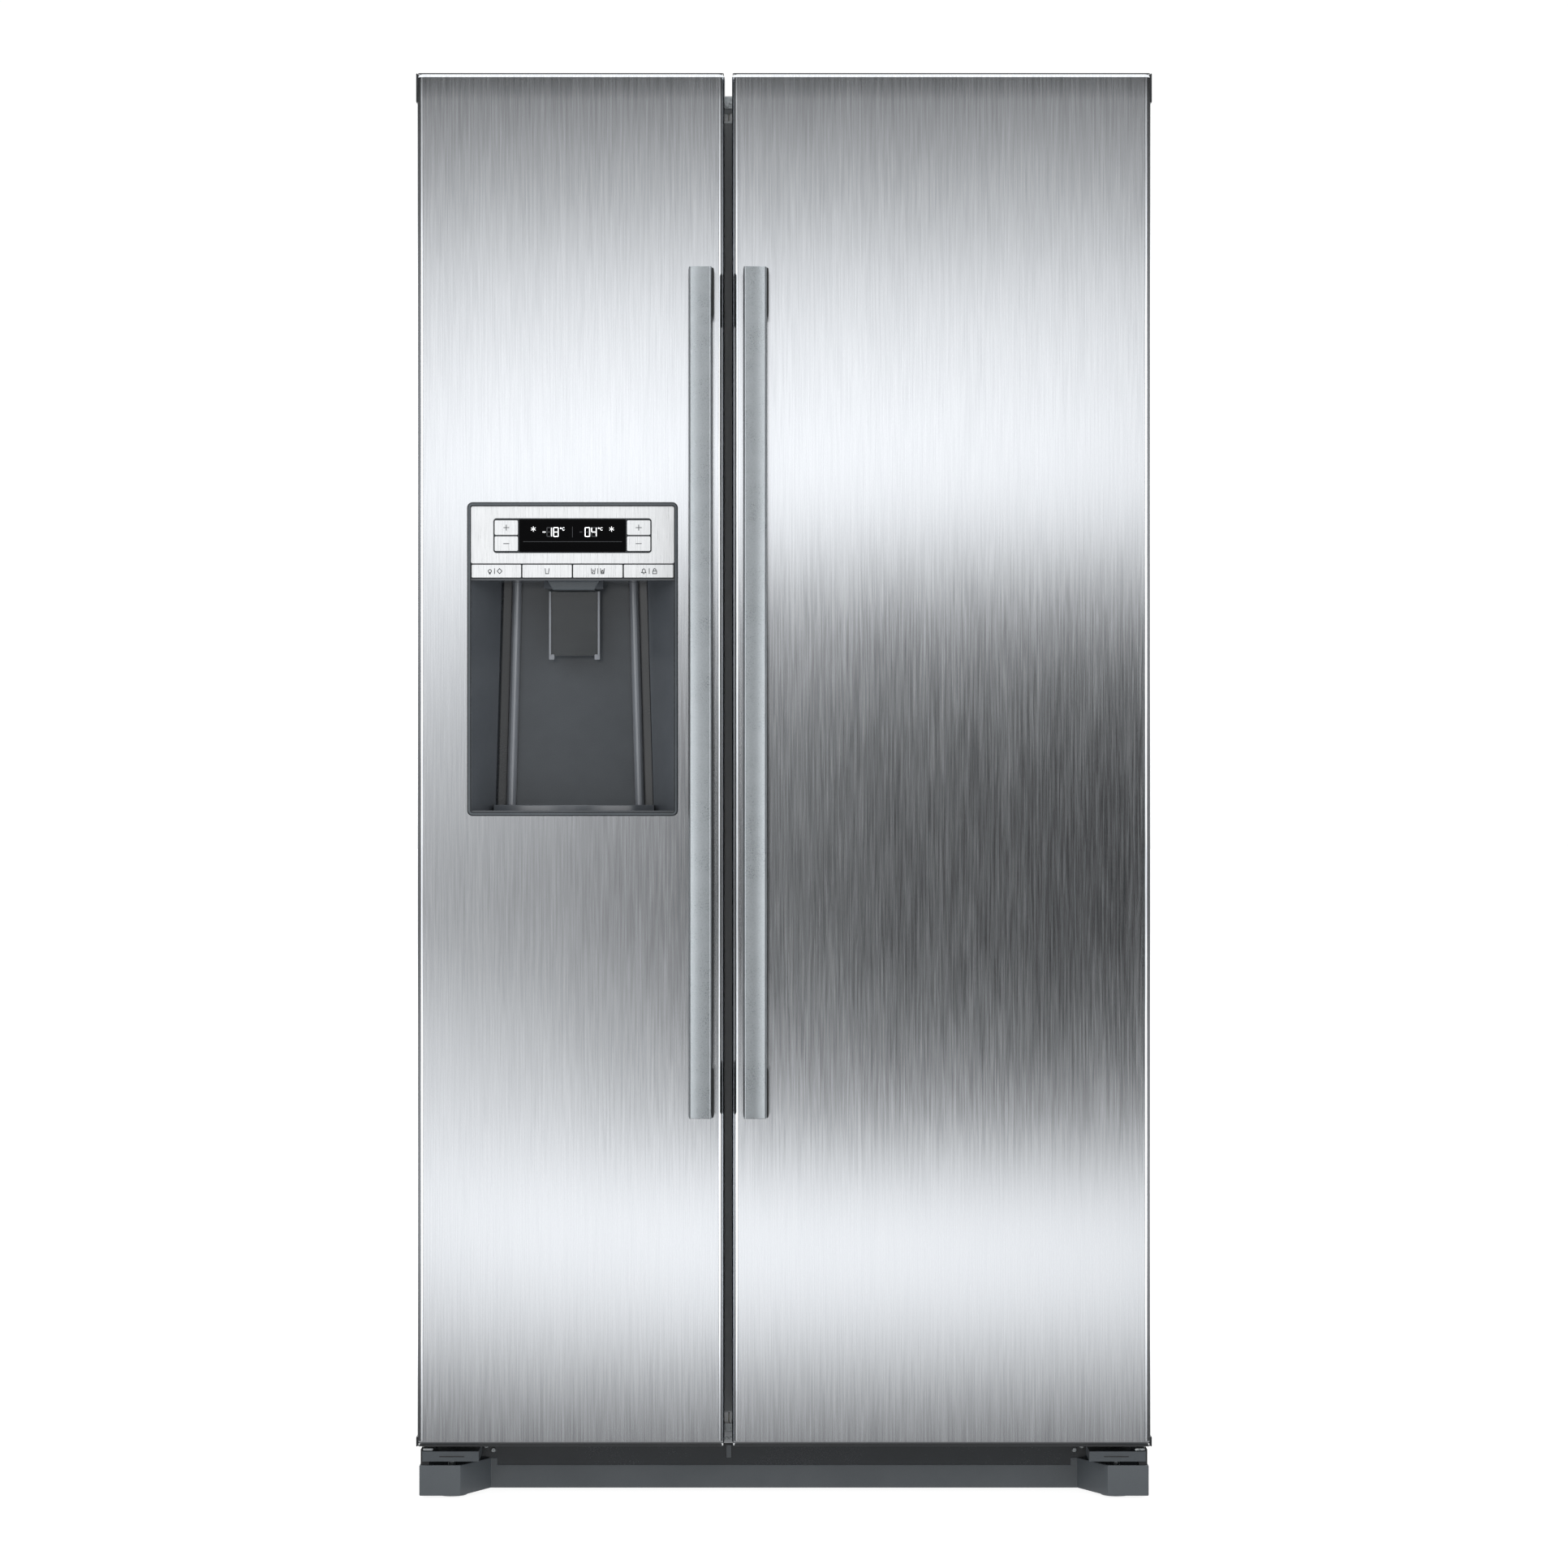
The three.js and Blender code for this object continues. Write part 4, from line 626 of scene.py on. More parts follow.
def door_skin(side, body, outer, hole=None):
    """A door's steel wrap: round upright edges, a tighter fold at the front of the top and the bottom, the
    corner cut away over the hinge, and the dispenser's hole. outer is -1 or 1."""
    node = side + "_door_skin"
    low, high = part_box(node)
    low.z += HEM
    high.z -= TOP_HEM

    def at_an_end(p):
        return p.y < low.y + EDGE_R and (p.z < low.z + TINY or p.z > high.z - TINY)

    mesh = bmesh.new()
    shell = block(mesh, low, high)
    round_off(mesh, edges_of(mesh, shell, Z, lambda p: p.y < low.y + MM), EDGE_R, 8)
    round_off(mesh, edges_of(mesh, mesh.verts, where=at_an_end), RIM_R, 5)
    notch(mesh, low, high, outer)
    if hole:
        opening(mesh, low, high, hole)
    return piece(side + "_door_steel", mesh, STEEL, body, [node])


def end_caps(side, body, outer):
    """The dark plastic caps that close a door's ends and show as tabs on its hinge side. outer is -1 or 1."""
    low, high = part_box(side + "_door_skin")
    edge = high.x if outer > 0 else low.x
    tab_in, tab_out = span(edge, outer, -0.5 * MM, CAP_PROUD)
    rim_in, rim_out = low.x + CAP_TUCK, high.x - CAP_TUCK
    short_in, short_out = sorted((rim_in if outer > 0 else rim_out, edge - outer * NOTCH_W))
    front, back = low.y + CAP_SETBACK, high.y + 0.4 * MM
    mesh = bmesh.new()
    for start, end in (
        ((tab_in, front, high.z - CAP_TOP_H), (tab_out, NOTCH_Y, high.z - 0.5 * MM)),
        ((tab_in, NOTCH_Y - MM, high.z - CAP_TOP_H), (tab_out, high.y, NOTCH_Z)),
        ((tab_in, front, low.z), (tab_out, high.y, low.z + CAP_BOTTOM_H)),
    ):
        rounded_block(mesh, start, end, 0.6 * MM)
    for start, end in (
        ((rim_in, front, high.z - 8 * MM), (rim_out, NOTCH_Y, high.z)),
        ((short_in, NOTCH_Y - MM, high.z - 8 * MM), (short_out, back, high.z - 0.2 * MM)),
        ((rim_in, front, low.z), (rim_out, back, low.z + 6 * MM)),
    ):
        rim = block(mesh, start, end)
        round_off(mesh, edges_of(mesh, rim, Z, lambda p: p.y < front + MM), 4 * MM, 5)
    return piece(side + "_door_end_caps", mesh, CAP, body)


housing_low, housing_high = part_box("dispenser_housing")
FRAME_LAP = 3.2 * MM
lap = Vector((FRAME_LAP, 0, FRAME_LAP))
door_skin("freezer", "freezer_door", -1, (housing_low + lap, housing_high - lap))
door_skin("fridge", "fridge_door", 1)
end_caps("freezer", "freezer_door", -1)
end_caps("fridge", "fridge_door", 1)

# ---------------------------------------- handles

BAR_W = 28 * MM
BAR_T = 17 * MM
BAR_STEPS = 12
CROWN_R = 80 * MM  # the radius of the bar's curved front
CREST = 7 * MM  # the highest line of the front, from the gap's side
MOUNT_H = 66 * MM
MOUNT_INSET = 1.5 * MM
# How far the black spine stands out past the bar: its thin dark outline is the bar's painted shadow.
SHADOW_SPINE_PROUD = 0.7 * MM


def handle(side, body, outer):
    """A bar that falls away gently to its outer side, on two black mounts, with a black spine behind
    it. The spine's thin dark outline is painted shadow of the bar, and the mounts reach past the bar's
    right side on both doors, where their black is painted shadow too. outer is -1 or 1."""
    low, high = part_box(side + "_handle")
    middle = low.x + BAR_W / 2
    back = low.y + BAR_T
    mesh = bmesh.new()
    outline = [(low.x + BAR_W, back), (low.x, back)]
    for i in range(BAR_STEPS + 1):
        across = i / BAR_STEPS * BAR_W
        away = across - CREST if outer > 0 else BAR_W - across - CREST
        outline.append((low.x + across, low.y + away * away / (2 * CROWN_R)))
    bar = prism(mesh, outline, Z, low.z, high.z)
    sides = edges_of(mesh, bar, Z, lambda p: abs(p.x - middle) > BAR_W / 2 - 10 * TINY)
    round_off(mesh, sides, 2.4 * MM, 5)
    ends = edges_of(mesh, mesh.verts, where=lambda p: p.z < low.z + TINY or p.z > high.z - TINY)
    round_off(mesh, ends, 1.2 * MM, 3)
    piece(side + "_handle_bar", mesh, HANDLE, body, [side + "_handle"])

    mesh = bmesh.new()
    # The spine is a little wider than the bar, so that a thin black outline paints the bar's shadow on the
    # door.
    rounded_block(mesh, (low.x - SHADOW_SPINE_PROUD, back - 2 * MM, low.z + MM),
                  (low.x + BAR_W + SHADOW_SPINE_PROUD, back + 1.5 * MM, high.z - MM), 0.6 * MM)
    # The mounts reach past the bar's right side on both doors, so their black paints a shadow strip there.
    for end, way in ((high.z, -1), (low.z, 1)):
        bottom, top = span(end, way, 0, MOUNT_H)
        foot = block(mesh, (low.x + MOUNT_INSET, back, bottom), (high.x, DOOR_FRONT, top))
        inner = edges_of(mesh, foot, where=lambda p: abs(p.z - end) > MOUNT_H - 10 * TINY)
        round_off(mesh, [e for e in inner if abs(e.verts[0].co.x - e.verts[1].co.x) < TINY], 9 * MM, 5)
        round_off(mesh, edges_of(mesh, [v for v in foot if v.is_valid], Y), 2 * MM, 3)
    piece(side + "_handle_mounts_and_shadow", mesh, MOUNT_AND_SHADOW_BLACK, body)


handle("freezer", "freezer_door", -1)
handle("fridge", "fridge_door", 1)

# ---------------------------------------- dispenser

FACE = housing_low.y  # the frame's front face, a little proud of the door
BAND = 4.7 * MM
NICHE_TOP_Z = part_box("key_light")[0].z - MM
niche_low = Vector((housing_low.x + BAND, FACE, housing_low.z + BAND))
niche_high = Vector((housing_high.x - BAND, housing_high.y, NICHE_TOP_Z))
niche_half = (niche_high.x - niche_low.x) / 2
niche_middle = (niche_high.x + niche_low.x) / 2
niche_back = niche_high.y - 6 * MM

FRAME_R = 7 * MM
FRAME_DEPTH = 9 * MM
# The frame's bands from outside in: width and rise in millimetres, and dark (0) or grey (1).
FRAME_BANDS = ((0.4, 0.0, 0), (1.0, 0.35, 0), (0.3, -0.5, 1), (1.9, 0.0, 1), (0.3, 0.4, 0), (0.8, 0.0, 0))
FACET = 30.7 * MM  # the side walls' slanting part, as seen from the front
GROOVE = 12 * MM
RIB = 12 * MM
RIB_RISE = 9 * MM
LEAN = 8 * MM  # the ribs stand this much wider at the bottom
NICHE_WALL = 1.6 * MM
TRAY_INSET = 26 * MM
TRAY_BOW = 30 * MM
SPOUT_TOP = 33 * MM  # half the spout's width at its top and at its foot
SPOUT_FOOT = 26 * MM
PADDLE_RAIL_W = 3 * MM
PADDLE_FOOT_W = 7 * MM


def dispenser_frame():
    """The rim round the dispenser: a dark outer band, a paler hollow band and a dark inner lip."""
    mesh = bmesh.new()
    rounded_block(mesh, (housing_low.x, FACE, housing_low.z),
                  (housing_high.x, DOOR_FRONT + 1.5 * MM, housing_high.z), FRAME_R, 6, Y)
    behind = max(mesh.faces, key=lambda f: f.calc_center_median().y)
    bmesh.ops.delete(mesh, geom=[behind], context="FACES_ONLY")
    face = min(mesh.faces, key=lambda f: f.calc_center_median().y)
    for width, rise, tone in FRAME_BANDS:
        ring = bmesh.ops.inset_region(
            mesh, faces=[face], thickness=width * MM, depth=rise * MM, use_even_offset=True
        )
        for band in ring["faces"]:
            band.material_index = tone
    sink(mesh, [face], FRAME_DEPTH)
    bmesh.ops.bridge_loops(mesh, edges=[e for e in mesh.edges if e.is_boundary])
    return piece("dispenser_rim", mesh, [RIM_DARK, RIM_LIGHT], "freezer_door", angle=24)


def niche():
    """The dispenser's niche: slanting side walls, a groove in dark plastic as painted shade, an upright
    rib on each side in a lighter grey that paints their highlights, and a flat back.
    """
    wall_end = niche_half - FACET
    rib_edge = niche_half - FACET - GROOVE
    rib_foot = niche_back - 6 * MM
    profile = [(niche_half, FACE + 5 * MM), (niche_half - 1.5 * MM, FACE + 12 * MM),
               (wall_end, niche_back - 34 * MM), (wall_end - 2 * MM, niche_back - 8 * MM),
               (rib_edge, rib_foot)]
    for i in range(1, 9):
        turn = math.pi * i / 8
        profile.append((rib_edge - RIB / 2 + RIB / 2 * math.cos(turn), rib_foot - RIB_RISE * math.sin(turn)))
    profile.append((rib_edge - RIB - MM, niche_back))
    outline = [(niche_middle + a, b) for a, b in profile]
    outline += [(niche_middle - a, b) for a, b in reversed(profile)]
    mesh = bmesh.new()
    foot = [mesh.verts.new((a, b, niche_low.z)) for a, b in outline]
    edges = [mesh.edges.new((a, b)) for a, b in zip(foot, foot[1:])]
    top = vertices_in(bmesh.ops.extrude_edge_only(mesh, edges=edges)["geom"])
    bmesh.ops.translate(mesh, vec=(0, 0, niche_high.z - niche_low.z), verts=top)
    for verts, shift in ((foot, LEAN / 2), (top, -LEAN / 2)):
        for v in verts:
            if abs(v.co.x - niche_middle) < wall_end + MM:
                v.co.x += shift if v.co.x > niche_middle else -shift
    bmesh.ops.recalc_face_normals(mesh, faces=mesh.faces)
    back = [f for f in mesh.faces if abs(f.calc_center_median().x - niche_middle) < 50 * MM]
    for face in mesh.faces:
        aside = abs(face.calc_center_median().x - niche_middle)
        # The ribs take a lighter grey plastic that paints their highlights.
        if rib_edge - RIB < aside < rib_edge:
            face.material_index = 2
        # The groove's faces take the dark rim plastic, as painted shade in the groove.
        elif rib_edge < aside < wall_end:
            face.material_index = 3
        elif face in back:
            face.material_index = 1
    if back[0].normal.y > 0:
        bmesh.ops.reverse_faces(mesh, faces=mesh.faces)
    bmesh.ops.solidify(mesh, geom=list(mesh.faces), thickness=NICHE_WALL)
    finishes = [SLATE, POCKET, RIBS, RIM_DARK]
    return piece("dispenser_niche", mesh, finishes, "freezer_door", angle=28)


def ceiling_and_tray():
    """The niche's ceiling and floor, and its tray with a bowed front and a rounded lip."""
    mesh = bmesh.new()
    block(mesh, (niche_low.x, FACE + 5 * MM, niche_high.z - 2 * MM),
          (niche_high.x, niche_back, niche_high.z + MM))
    block(mesh, (niche_low.x, FACE + 3 * MM, niche_low.z), (niche_high.x, niche_back, niche_low.z + 2 * MM))
    half = niche_half - TRAY_INSET
    outline = [(niche_middle - half, niche_back), (niche_middle + half, niche_back)]
    for i in range(17):
        across = 1 - 2 * i / 16
        outline.append((niche_middle + across * half, FACE + 12 * MM + TRAY_BOW * across * across))
    tray = prism(mesh, outline, Z, niche_low.z + 2 * MM, niche_low.z + 9 * MM)
    round_off(mesh, edges_of(mesh, tray, where=lambda p: p.z > niche_low.z + 8.9 * MM), 1.2 * MM, 3)
    return piece("dispenser_tray", mesh, SLATE, "freezer_door", angle=28)


def spout():
    """The spout's collar over the paddle."""
    low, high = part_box("ice_chute")
    centre = (low.x + high.x) / 2
    top, bottom = niche_high.z - MM, niche_high.z - 13 * MM
    outline = [(centre - SPOUT_TOP, top), (centre + SPOUT_TOP, top),
               (centre + SPOUT_FOOT, bottom), (centre - SPOUT_FOOT, bottom)]
    mesh = bmesh.new()
    collar = prism(mesh, outline, Y, FACE + 28 * MM, FACE + 70 * MM)
    round_off(mesh, edges_of(mesh, collar), 1.5 * MM, 3)
    return piece("ice_spout", mesh, RIM_LIGHT, "freezer_door")


def paddle():
    """The smoked paddle: a flat blade with raised rails at its sides and two small feet."""
    low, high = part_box("dispenser_paddle")
    middle = (low.x + high.x) / 2
    half = (high.x - low.x) / 2 - MM
    mesh = bmesh.new()
    rounded_block(mesh, (middle - half, low.y + 5 * MM, low.z + 5 * MM),
                  (middle + half, low.y + 8 * MM, high.z), 4 * MM, 4, Y)
    clear_faces = set(mesh.faces)
    for side in (-1, 1):
        a, b = span(middle, side, half - PADDLE_RAIL_W, half)
        rounded_block(mesh, (a, low.y + 1.5 * MM, low.z + 6 * MM),
                      (b, low.y + 6 * MM, high.z), 1.2 * MM, 3, Z)
        a, b = span(middle, side, half - PADDLE_FOOT_W, half)
        rounded_block(mesh, (a, low.y + 3 * MM, low.z), (b, low.y + 8 * MM, low.z + 7 * MM), MM)
    for face in mesh.faces:
        if face not in clear_faces:
            face.material_index = 1
    return piece("paddle_blade", mesh, [SMOKED, RIBS], "paddle", ["dispenser_paddle"])


dispenser_frame()
niche()
ceiling_and_tray()
spout()
paddle()

# ---------------------------------------- panel and keys

PANEL_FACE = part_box("control_panel")[0].y
GLASS_PROUD = 0.7 * MM
BEZEL = 1.4 * MM
KEY_PROUD = 0.5 * MM
KEY_GAP = 0.25 * MM
PRINT_W = 0.9 * MM
# Which of the seven bars are lit for each sign: a is the top one, b to f follow clockwise and g is the middle
# one. Both minus signs have the middle bar alone, and the second of them is unlit.
LIT_BARS = {"0": "abcdef", "1": "bc", "8": "abcdefg", "4": "bcfg", "-": "g", "_": ""}
# The two temperatures, with their signs' left edges from the window's middle in millimetres.
READINGS = (("-18", (-37.0, -31.6, -23.3)), ("_04", (8.6, 15.7, 23.9)))
DIGIT_H = 10.9 * MM
DIGIT_W = 5.6 * MM
SIGN_W = 3.8 * MM
BAR_GAP = 0.4 * MM
STAR_X = 48.5 * MM
STAR_R = 3 * MM


def stroke(mesh, points, width, front, rise):
    """A flat line of ink or light through points in x and z, as short bars standing a hair off the panel."""
    for (ax, az), (bx, bz) in zip(points, points[1:]):
        length = math.hypot(bx - ax, bz - az)
        bar = bmesh.ops.create_cube(mesh, size=1)["verts"]
        bmesh.ops.scale(mesh, vec=(length + width * 0.6, rise, width), verts=bar)
        turn = Matrix.Rotation(-math.atan2(bz - az, bx - ax), 4, "Y")
        spot = Matrix.Translation(((ax + bx) / 2, front - rise / 2, (az + bz) / 2))
        bmesh.ops.transform(mesh, matrix=spot @ turn, verts=bar)


def arc(x, z, radius, start, end, steps, tall=1.0):
    """Points along an arc between two angles in degrees, stretched upwards by tall."""
    turns = [math.radians(start + (end - start) * i / steps) for i in range(steps + 1)]
    return [(x + radius * math.cos(t), z + tall * radius * math.sin(t)) for t in turns]


def panel():
    """The silver panel, the dark backing round it, the keys' and display's bezel, and the display's glass."""
    low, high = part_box("control_panel")
    mesh = bmesh.new()
    rounded_block(mesh, low, high, 2.5 * MM, 4, Y)
    round_off(mesh, edges_of(mesh, mesh.verts, where=lambda p: p.y < low.y + TINY), 0.5 * MM, 2)
    piece("silver_panel", mesh, PANEL, "freezer_door", ["control_panel"])

    mesh = bmesh.new()
    rounded_block(mesh, (niche_low.x, low.y + 2 * MM, niche_high.z),
                  (niche_high.x, high.y + MM, high.z + MM), MM, 2, Y)
    piece("panel_backing", mesh, RIM_DARK, "freezer_door")

    window_low, window_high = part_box("display_window")
    keys_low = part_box("key_freezer_minus")[0]
    keys_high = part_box("key_fridge_plus")[1]
    mesh = bmesh.new()
    rounded_block(mesh, (keys_low.x - BEZEL, low.y - 0.15 * MM, window_low.z - BEZEL),
                  (keys_high.x + BEZEL, low.y + MM, window_high.z + BEZEL), 4 * MM, 5, Y)
    piece("key_bezel", mesh, RIM_DARK, "freezer_door")

    front = low.y - GLASS_PROUD
    mesh = bmesh.new()
    rounded_block(mesh, (window_low.x, front, window_low.z),
                  (window_high.x, low.y, window_high.z), 1.5 * MM, 3, Y)
    round_off(mesh, edges_of(mesh, mesh.verts, where=lambda p: p.y < front + 0.01 * MM), 0.2 * MM, 2)
    piece("display_glass", mesh, DISPLAY, "freezer_door", ["display_window"])


def digit_bars(x, z, width, height):
    """The seven bars of a digit as pairs of points, by letter."""
    right, top, half = x + width, z + height, z + height / 2
    return {
        "a": ((x, top), (right, top)),
        "b": ((right, half), (right, top)),
        "c": ((right, z), (right, half)),
        "d": ((x, z), (right, z)),
        "e": ((x, z), (x, half)),
        "f": ((x, half), (x, top)),
        "g": ((x, half), (right, half)),
    }


def display():
    """The two temperatures, the unlit bars behind them, a frost star by each and the fine dividing lines."""
    low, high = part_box("display_window")
    middle = (low.x + high.x) / 2
    bottom = high.z - 21.2 * MM
    top = bottom + DIGIT_H
    lit_mesh = bmesh.new()
    unlit_mesh = bmesh.new()

    def line(mesh, points, width):
        stroke(mesh, points, width * MM, PANEL_FACE - GLASS_PROUD, 0.12 * MM)

    for text, starts in READINGS:
        for sign, start in zip(text, starts):
            left = middle + start * MM
            minus = sign in "-_"
            for letter, (a, b) in digit_bars(left, bottom, SIGN_W if minus else DIGIT_W, DIGIT_H).items():
                if minus and letter != "g":
                    continue
                shrink = BAR_GAP / math.dist(a, b)
                ends = [tuple(p + (q - p) * shrink for p, q in zip(u, v)) for u, v in ((a, b), (b, a))]
                if letter in LIT_BARS[sign]:
                    line(lit_mesh, ends, 1.1)
                else:
                    line(unlit_mesh, ends, 0.9)
        x, z = left + DIGIT_W + 3.2 * MM, top - 0.7 * MM
        line(lit_mesh, arc(x, z, 0.8 * MM, 0, 360, 6), 0.4)
        line(lit_mesh, arc(x + 3.4 * MM, z - 0.9 * MM, 1.5 * MM, 45, 315, 6, 1.2), 0.45)
    for x in (middle - STAR_X, middle + STAR_X):
        for i in range(3):
            turn = math.pi * i / 3 + math.pi / 2
            dx, dz = STAR_R * math.cos(turn), STAR_R * math.sin(turn)
            z = top - 1.7 * MM
            line(lit_mesh, [(x - dx, z - dz), (x + dx, z + dz)], 0.6)
    line(unlit_mesh, [(middle, bottom - MM), (middle, top + MM)], 0.5)
    z = bottom - 6.5 * MM
    line(unlit_mesh, [(low.x + 5 * MM, z), (high.x - 5 * MM, z)], 0.5)
    piece("display_lit_segments", lit_mesh, GLOW, "freezer_door")
    piece("display_dim_segments", unlit_mesh, UNLIT, "freezer_door")


def key_cap(node, signs, radius):
    """A key with soft edges, and its printed signs, as lines of points in millimetres from its middle."""
    low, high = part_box(node)
    low.y = PANEL_FACE - KEY_PROUD
    gap = Vector((KEY_GAP, 0, KEY_GAP))
    low, high = low + gap, high - gap
    mesh = bmesh.new()
    rounded_block(mesh, low, high, radius, 4, Y)
    round_off(mesh, edges_of(mesh, mesh.verts, where=lambda p: p.y < low.y + TINY), 0.35 * MM, 2)
    plain = set(mesh.faces)
    x, z = (low.x + high.x) / 2, (low.z + high.z) / 2
    for points in signs:
        stroke(mesh, [(x + a * MM, z + b * MM) for a, b in points], PRINT_W, low.y, 0.1 * MM)
    for face in mesh.faces:
        if face not in plain:
            face.material_index = 1
    body = frame["nodes"][node]["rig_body"]
    return piece(node + "_cap", mesh, [PANEL, PRINT], body, [node])


def shifted(lines, across):
    """The same lines, further to the right."""
    return [[(a + across, b) for a, b in line] for line in lines]


# The signs on the keys, as lines of points in millimetres from their middles.
MINUS = [[(-3.4, 0), (3.4, 0)]]
PLUS = MINUS + [[(0, -3.4), (0, 3.4)]]
BAR = [[(0, -3.2), (0, 3.2)]]
TUMBLER = [[(-2.4, 3.2), (-1.7, -3.2), (1.7, -3.2), (2.4, 3.2)]]
BULB = [arc(0, 0, 2.0, 0, 360, 10), [(-1, -2.6), (1, -2.6)], [(-0.7, -3.5), (0.7, -3.5)]]
DIAMOND = [[(0, 3.2), (3, 0), (0, -3.2), (-3, 0), (0, 3.2)]]
CRUSHED = TUMBLER + [[(-0.9, 0.6), (0, 1.6)], [(0.3, -0.4), (1.1, 0.6)], [(-1, -1.9), (0, -1)]]
CUBES = TUMBLER + [[(-1.1, -2), (0.9, -2), (0.9, 0), (-1.1, 0), (-1.1, -2)], [(-0.6, 0.8), (1.1, 1.5)]]
BELL = [
    [(-2.8, -2), (-1.9, -0.6), (-1.7, 1.6), (0, 3), (1.7, 1.6), (1.9, -0.6), (2.8, -2), (-2.8, -2)],
    [(-0.6, -3.2), (0.6, -3.2)],
]
PADLOCK = [
    [(-2.4, 0.2), (2.4, 0.2), (2.4, -3.2), (-2.4, -3.2), (-2.4, 0.2)],
    [(-1.5, 0.3), (-1.5, 2.2), (0, 3.2), (1.5, 2.2), (1.5, 0.3)],
]
# Each key's signs, side by side, and the radius of its corners in millimetres.
KEYS = (
    ("key_freezer_minus", MINUS, 1.5),
    ("key_freezer_plus", PLUS, 1.5),
    ("key_fridge_minus", MINUS, 1.5),
    ("key_fridge_plus", PLUS, 1.5),
    ("key_light", shifted(BULB, -8.1) + shifted(BAR, -2.2) + shifted(DIAMOND, 4), 1.0),
    ("key_crushed_ice", TUMBLER, 1.0),
    ("key_ice_cubes", shifted(CRUSHED, -5.7) + BAR + shifted(CUBES, 5.7), 1.0),
    ("key_lock", shifted(BELL, -6) + shifted(BAR, 0.8) + shifted(PADLOCK, 7.5), 1.0),
)

panel()
display()
for node, signs, radius in KEYS:
    key_cap(node, signs, radius * MM)

# ---------------------------------------- pieces kept as modelled

SHELVES = (
    "freezer_shelf_lower", "freezer_shelf_upper", "crisper_shelf", "fridge_shelf_lower", "fridge_shelf_upper",
)
DRAWERS = ("freezer_drawer_lower", "freezer_drawer_upper", "crisper_lower", "crisper_upper")
BINS = ("freezer_bin_lower", "freezer_bin_upper", "bottle_bin")
BOTTOM_HINGES = ("bottom_hinge_freezer", "bottom_hinge_fridge")
# Finish, slot, the width of the softened edges in millimetres, and the nodes that have them. Nodes with many
# small openings keep their edges.
KEPT = (
    (CASE, "case_steel", 1.0, ("outer_case",)),
    (FOAM, "foam", 0.0, ("insulation",)),
    (LINER, "white_liner", 4.0, ("freezer_liner", "fridge_liner")),
    (RAIL, "case_steel", 0.3, ("centre_rail",)),
    (BLACK_STEEL, "black_metal", 0.4, ("base_chassis",)),
    (ZINC, "zinc_steel", 0.8, ("top_hinge_freezer", "top_hinge_fridge")),
    (DIPPED, "zinc_steel", 0.8, BOTTOM_HINGES),
    (KICK, "dark_plastic", 1.0, ("kick_plate",)),
    (CAP, "dark_plastic", 0.0, ("machine_cover",)),
    (BLACK_STEEL, "black_metal", 3.0, ("compressor",)),
    (FINS, "fin_metal", 0.0, ("condenser", "evaporator")),
    (LINER, "white_liner", 0.0, ("evaporator_cover", "fridge_air_duct")),
    (NYLON, "dark_plastic", 0.4, ("condenser_fan", "evaporator_fan")),
    (SLATE, "dark_plastic", 0.5, ("ice_chute",)),
    (GASKET, "gasket_rubber", 2.0, ("freezer_door_gasket", "fridge_door_gasket")),
    (ZINC, "zinc_steel", 0.6, ("front_foot_left", "front_foot_right")),
    (NYLON, "dark_plastic", 1.0, ("rear_roller_left", "rear_roller_right")),
    (GLASS, "shelf_glass", 0.8, SHELVES),
    (CLEAR, "clear_plastic", 1.0, DRAWERS),
    (LINER, "white_liner", 1.5, ("ice_maker",)),
    (CLEAR, "clear_plastic", 1.0, ("ice_bucket", *BINS, "dairy_box")),
    (CLEAR, "clear_plastic", 0.8, ("dairy_lid",)),
)
LINER_TUCK = 6 * MM  # keeps the doors' liners behind the steel's rounded folds

for finish, slot, width, nodes in KEPT:
    for node in nodes:
        softened(node, finish, width * MM)
for node in ("freezer_door_liner", "fridge_door_liner"):
    softened(node, DOOR_LINER, 3 * MM, tuck=LINER_TUCK)

# ---------------------------------------- inside and back

for name, height in (("fridge_door_bin_middle", 420 * MM), ("fridge_door_bin_upper", 860 * MM)):
    softened("bottle_bin", CLEAR, MM, lift=height, name=name)


def trim(name, finish, node, low, high, edge=MM):
    """A rounded strip between two corners, that moves with a node's body."""
    mesh = bmesh.new()
    rounded_block(mesh, low, high, edge, 3)
    return piece(name, mesh, finish, frame["nodes"][node]["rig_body"])


PULL_INSET = 0.22  # the share of a drawer's width on either side of its pull
LAMP_HALF = 45 * MM
LAMP_FRONT = -0.17
LAMP_BACK = -0.13

for node in SHELVES:
    low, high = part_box(node)
    trim(node + "_trim", TRIM, node, (low.x + MM, low.y - 2 * MM, high.z - 8 * MM),
         (high.x - MM, low.y + 7 * MM, high.z + 2 * MM))
for node in (*DRAWERS, "ice_bucket"):
    low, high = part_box(node)
    inset = PULL_INSET * (high.x - low.x)
    trim(node + "_pull", TRIM, node, (low.x + inset, low.y - 1.5 * MM, high.z - 34 * MM),
         (high.x - inset, low.y + 1.2 * MM, high.z - 16 * MM))
for node in BINS:
    low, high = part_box(node)
    trim(node + "_rail", TRIM, node, (low.x + 4 * MM, high.y - 2 * MM, high.z - 14 * MM),
         (high.x - 4 * MM, high.y + 1.5 * MM, high.z - 4 * MM))
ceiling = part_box("ice_maker")[1].z
for name, node, middle in (("fridge_lamp", "fridge_liner", 0.183), ("freezer_lamp", "freezer_liner", -0.15)):
    trim(name, LAMP, node, (middle - LAMP_HALF, LAMP_FRONT, ceiling - 6 * MM),
         (middle + LAMP_HALF, LAMP_BACK, ceiling + MM), 1.5 * MM)

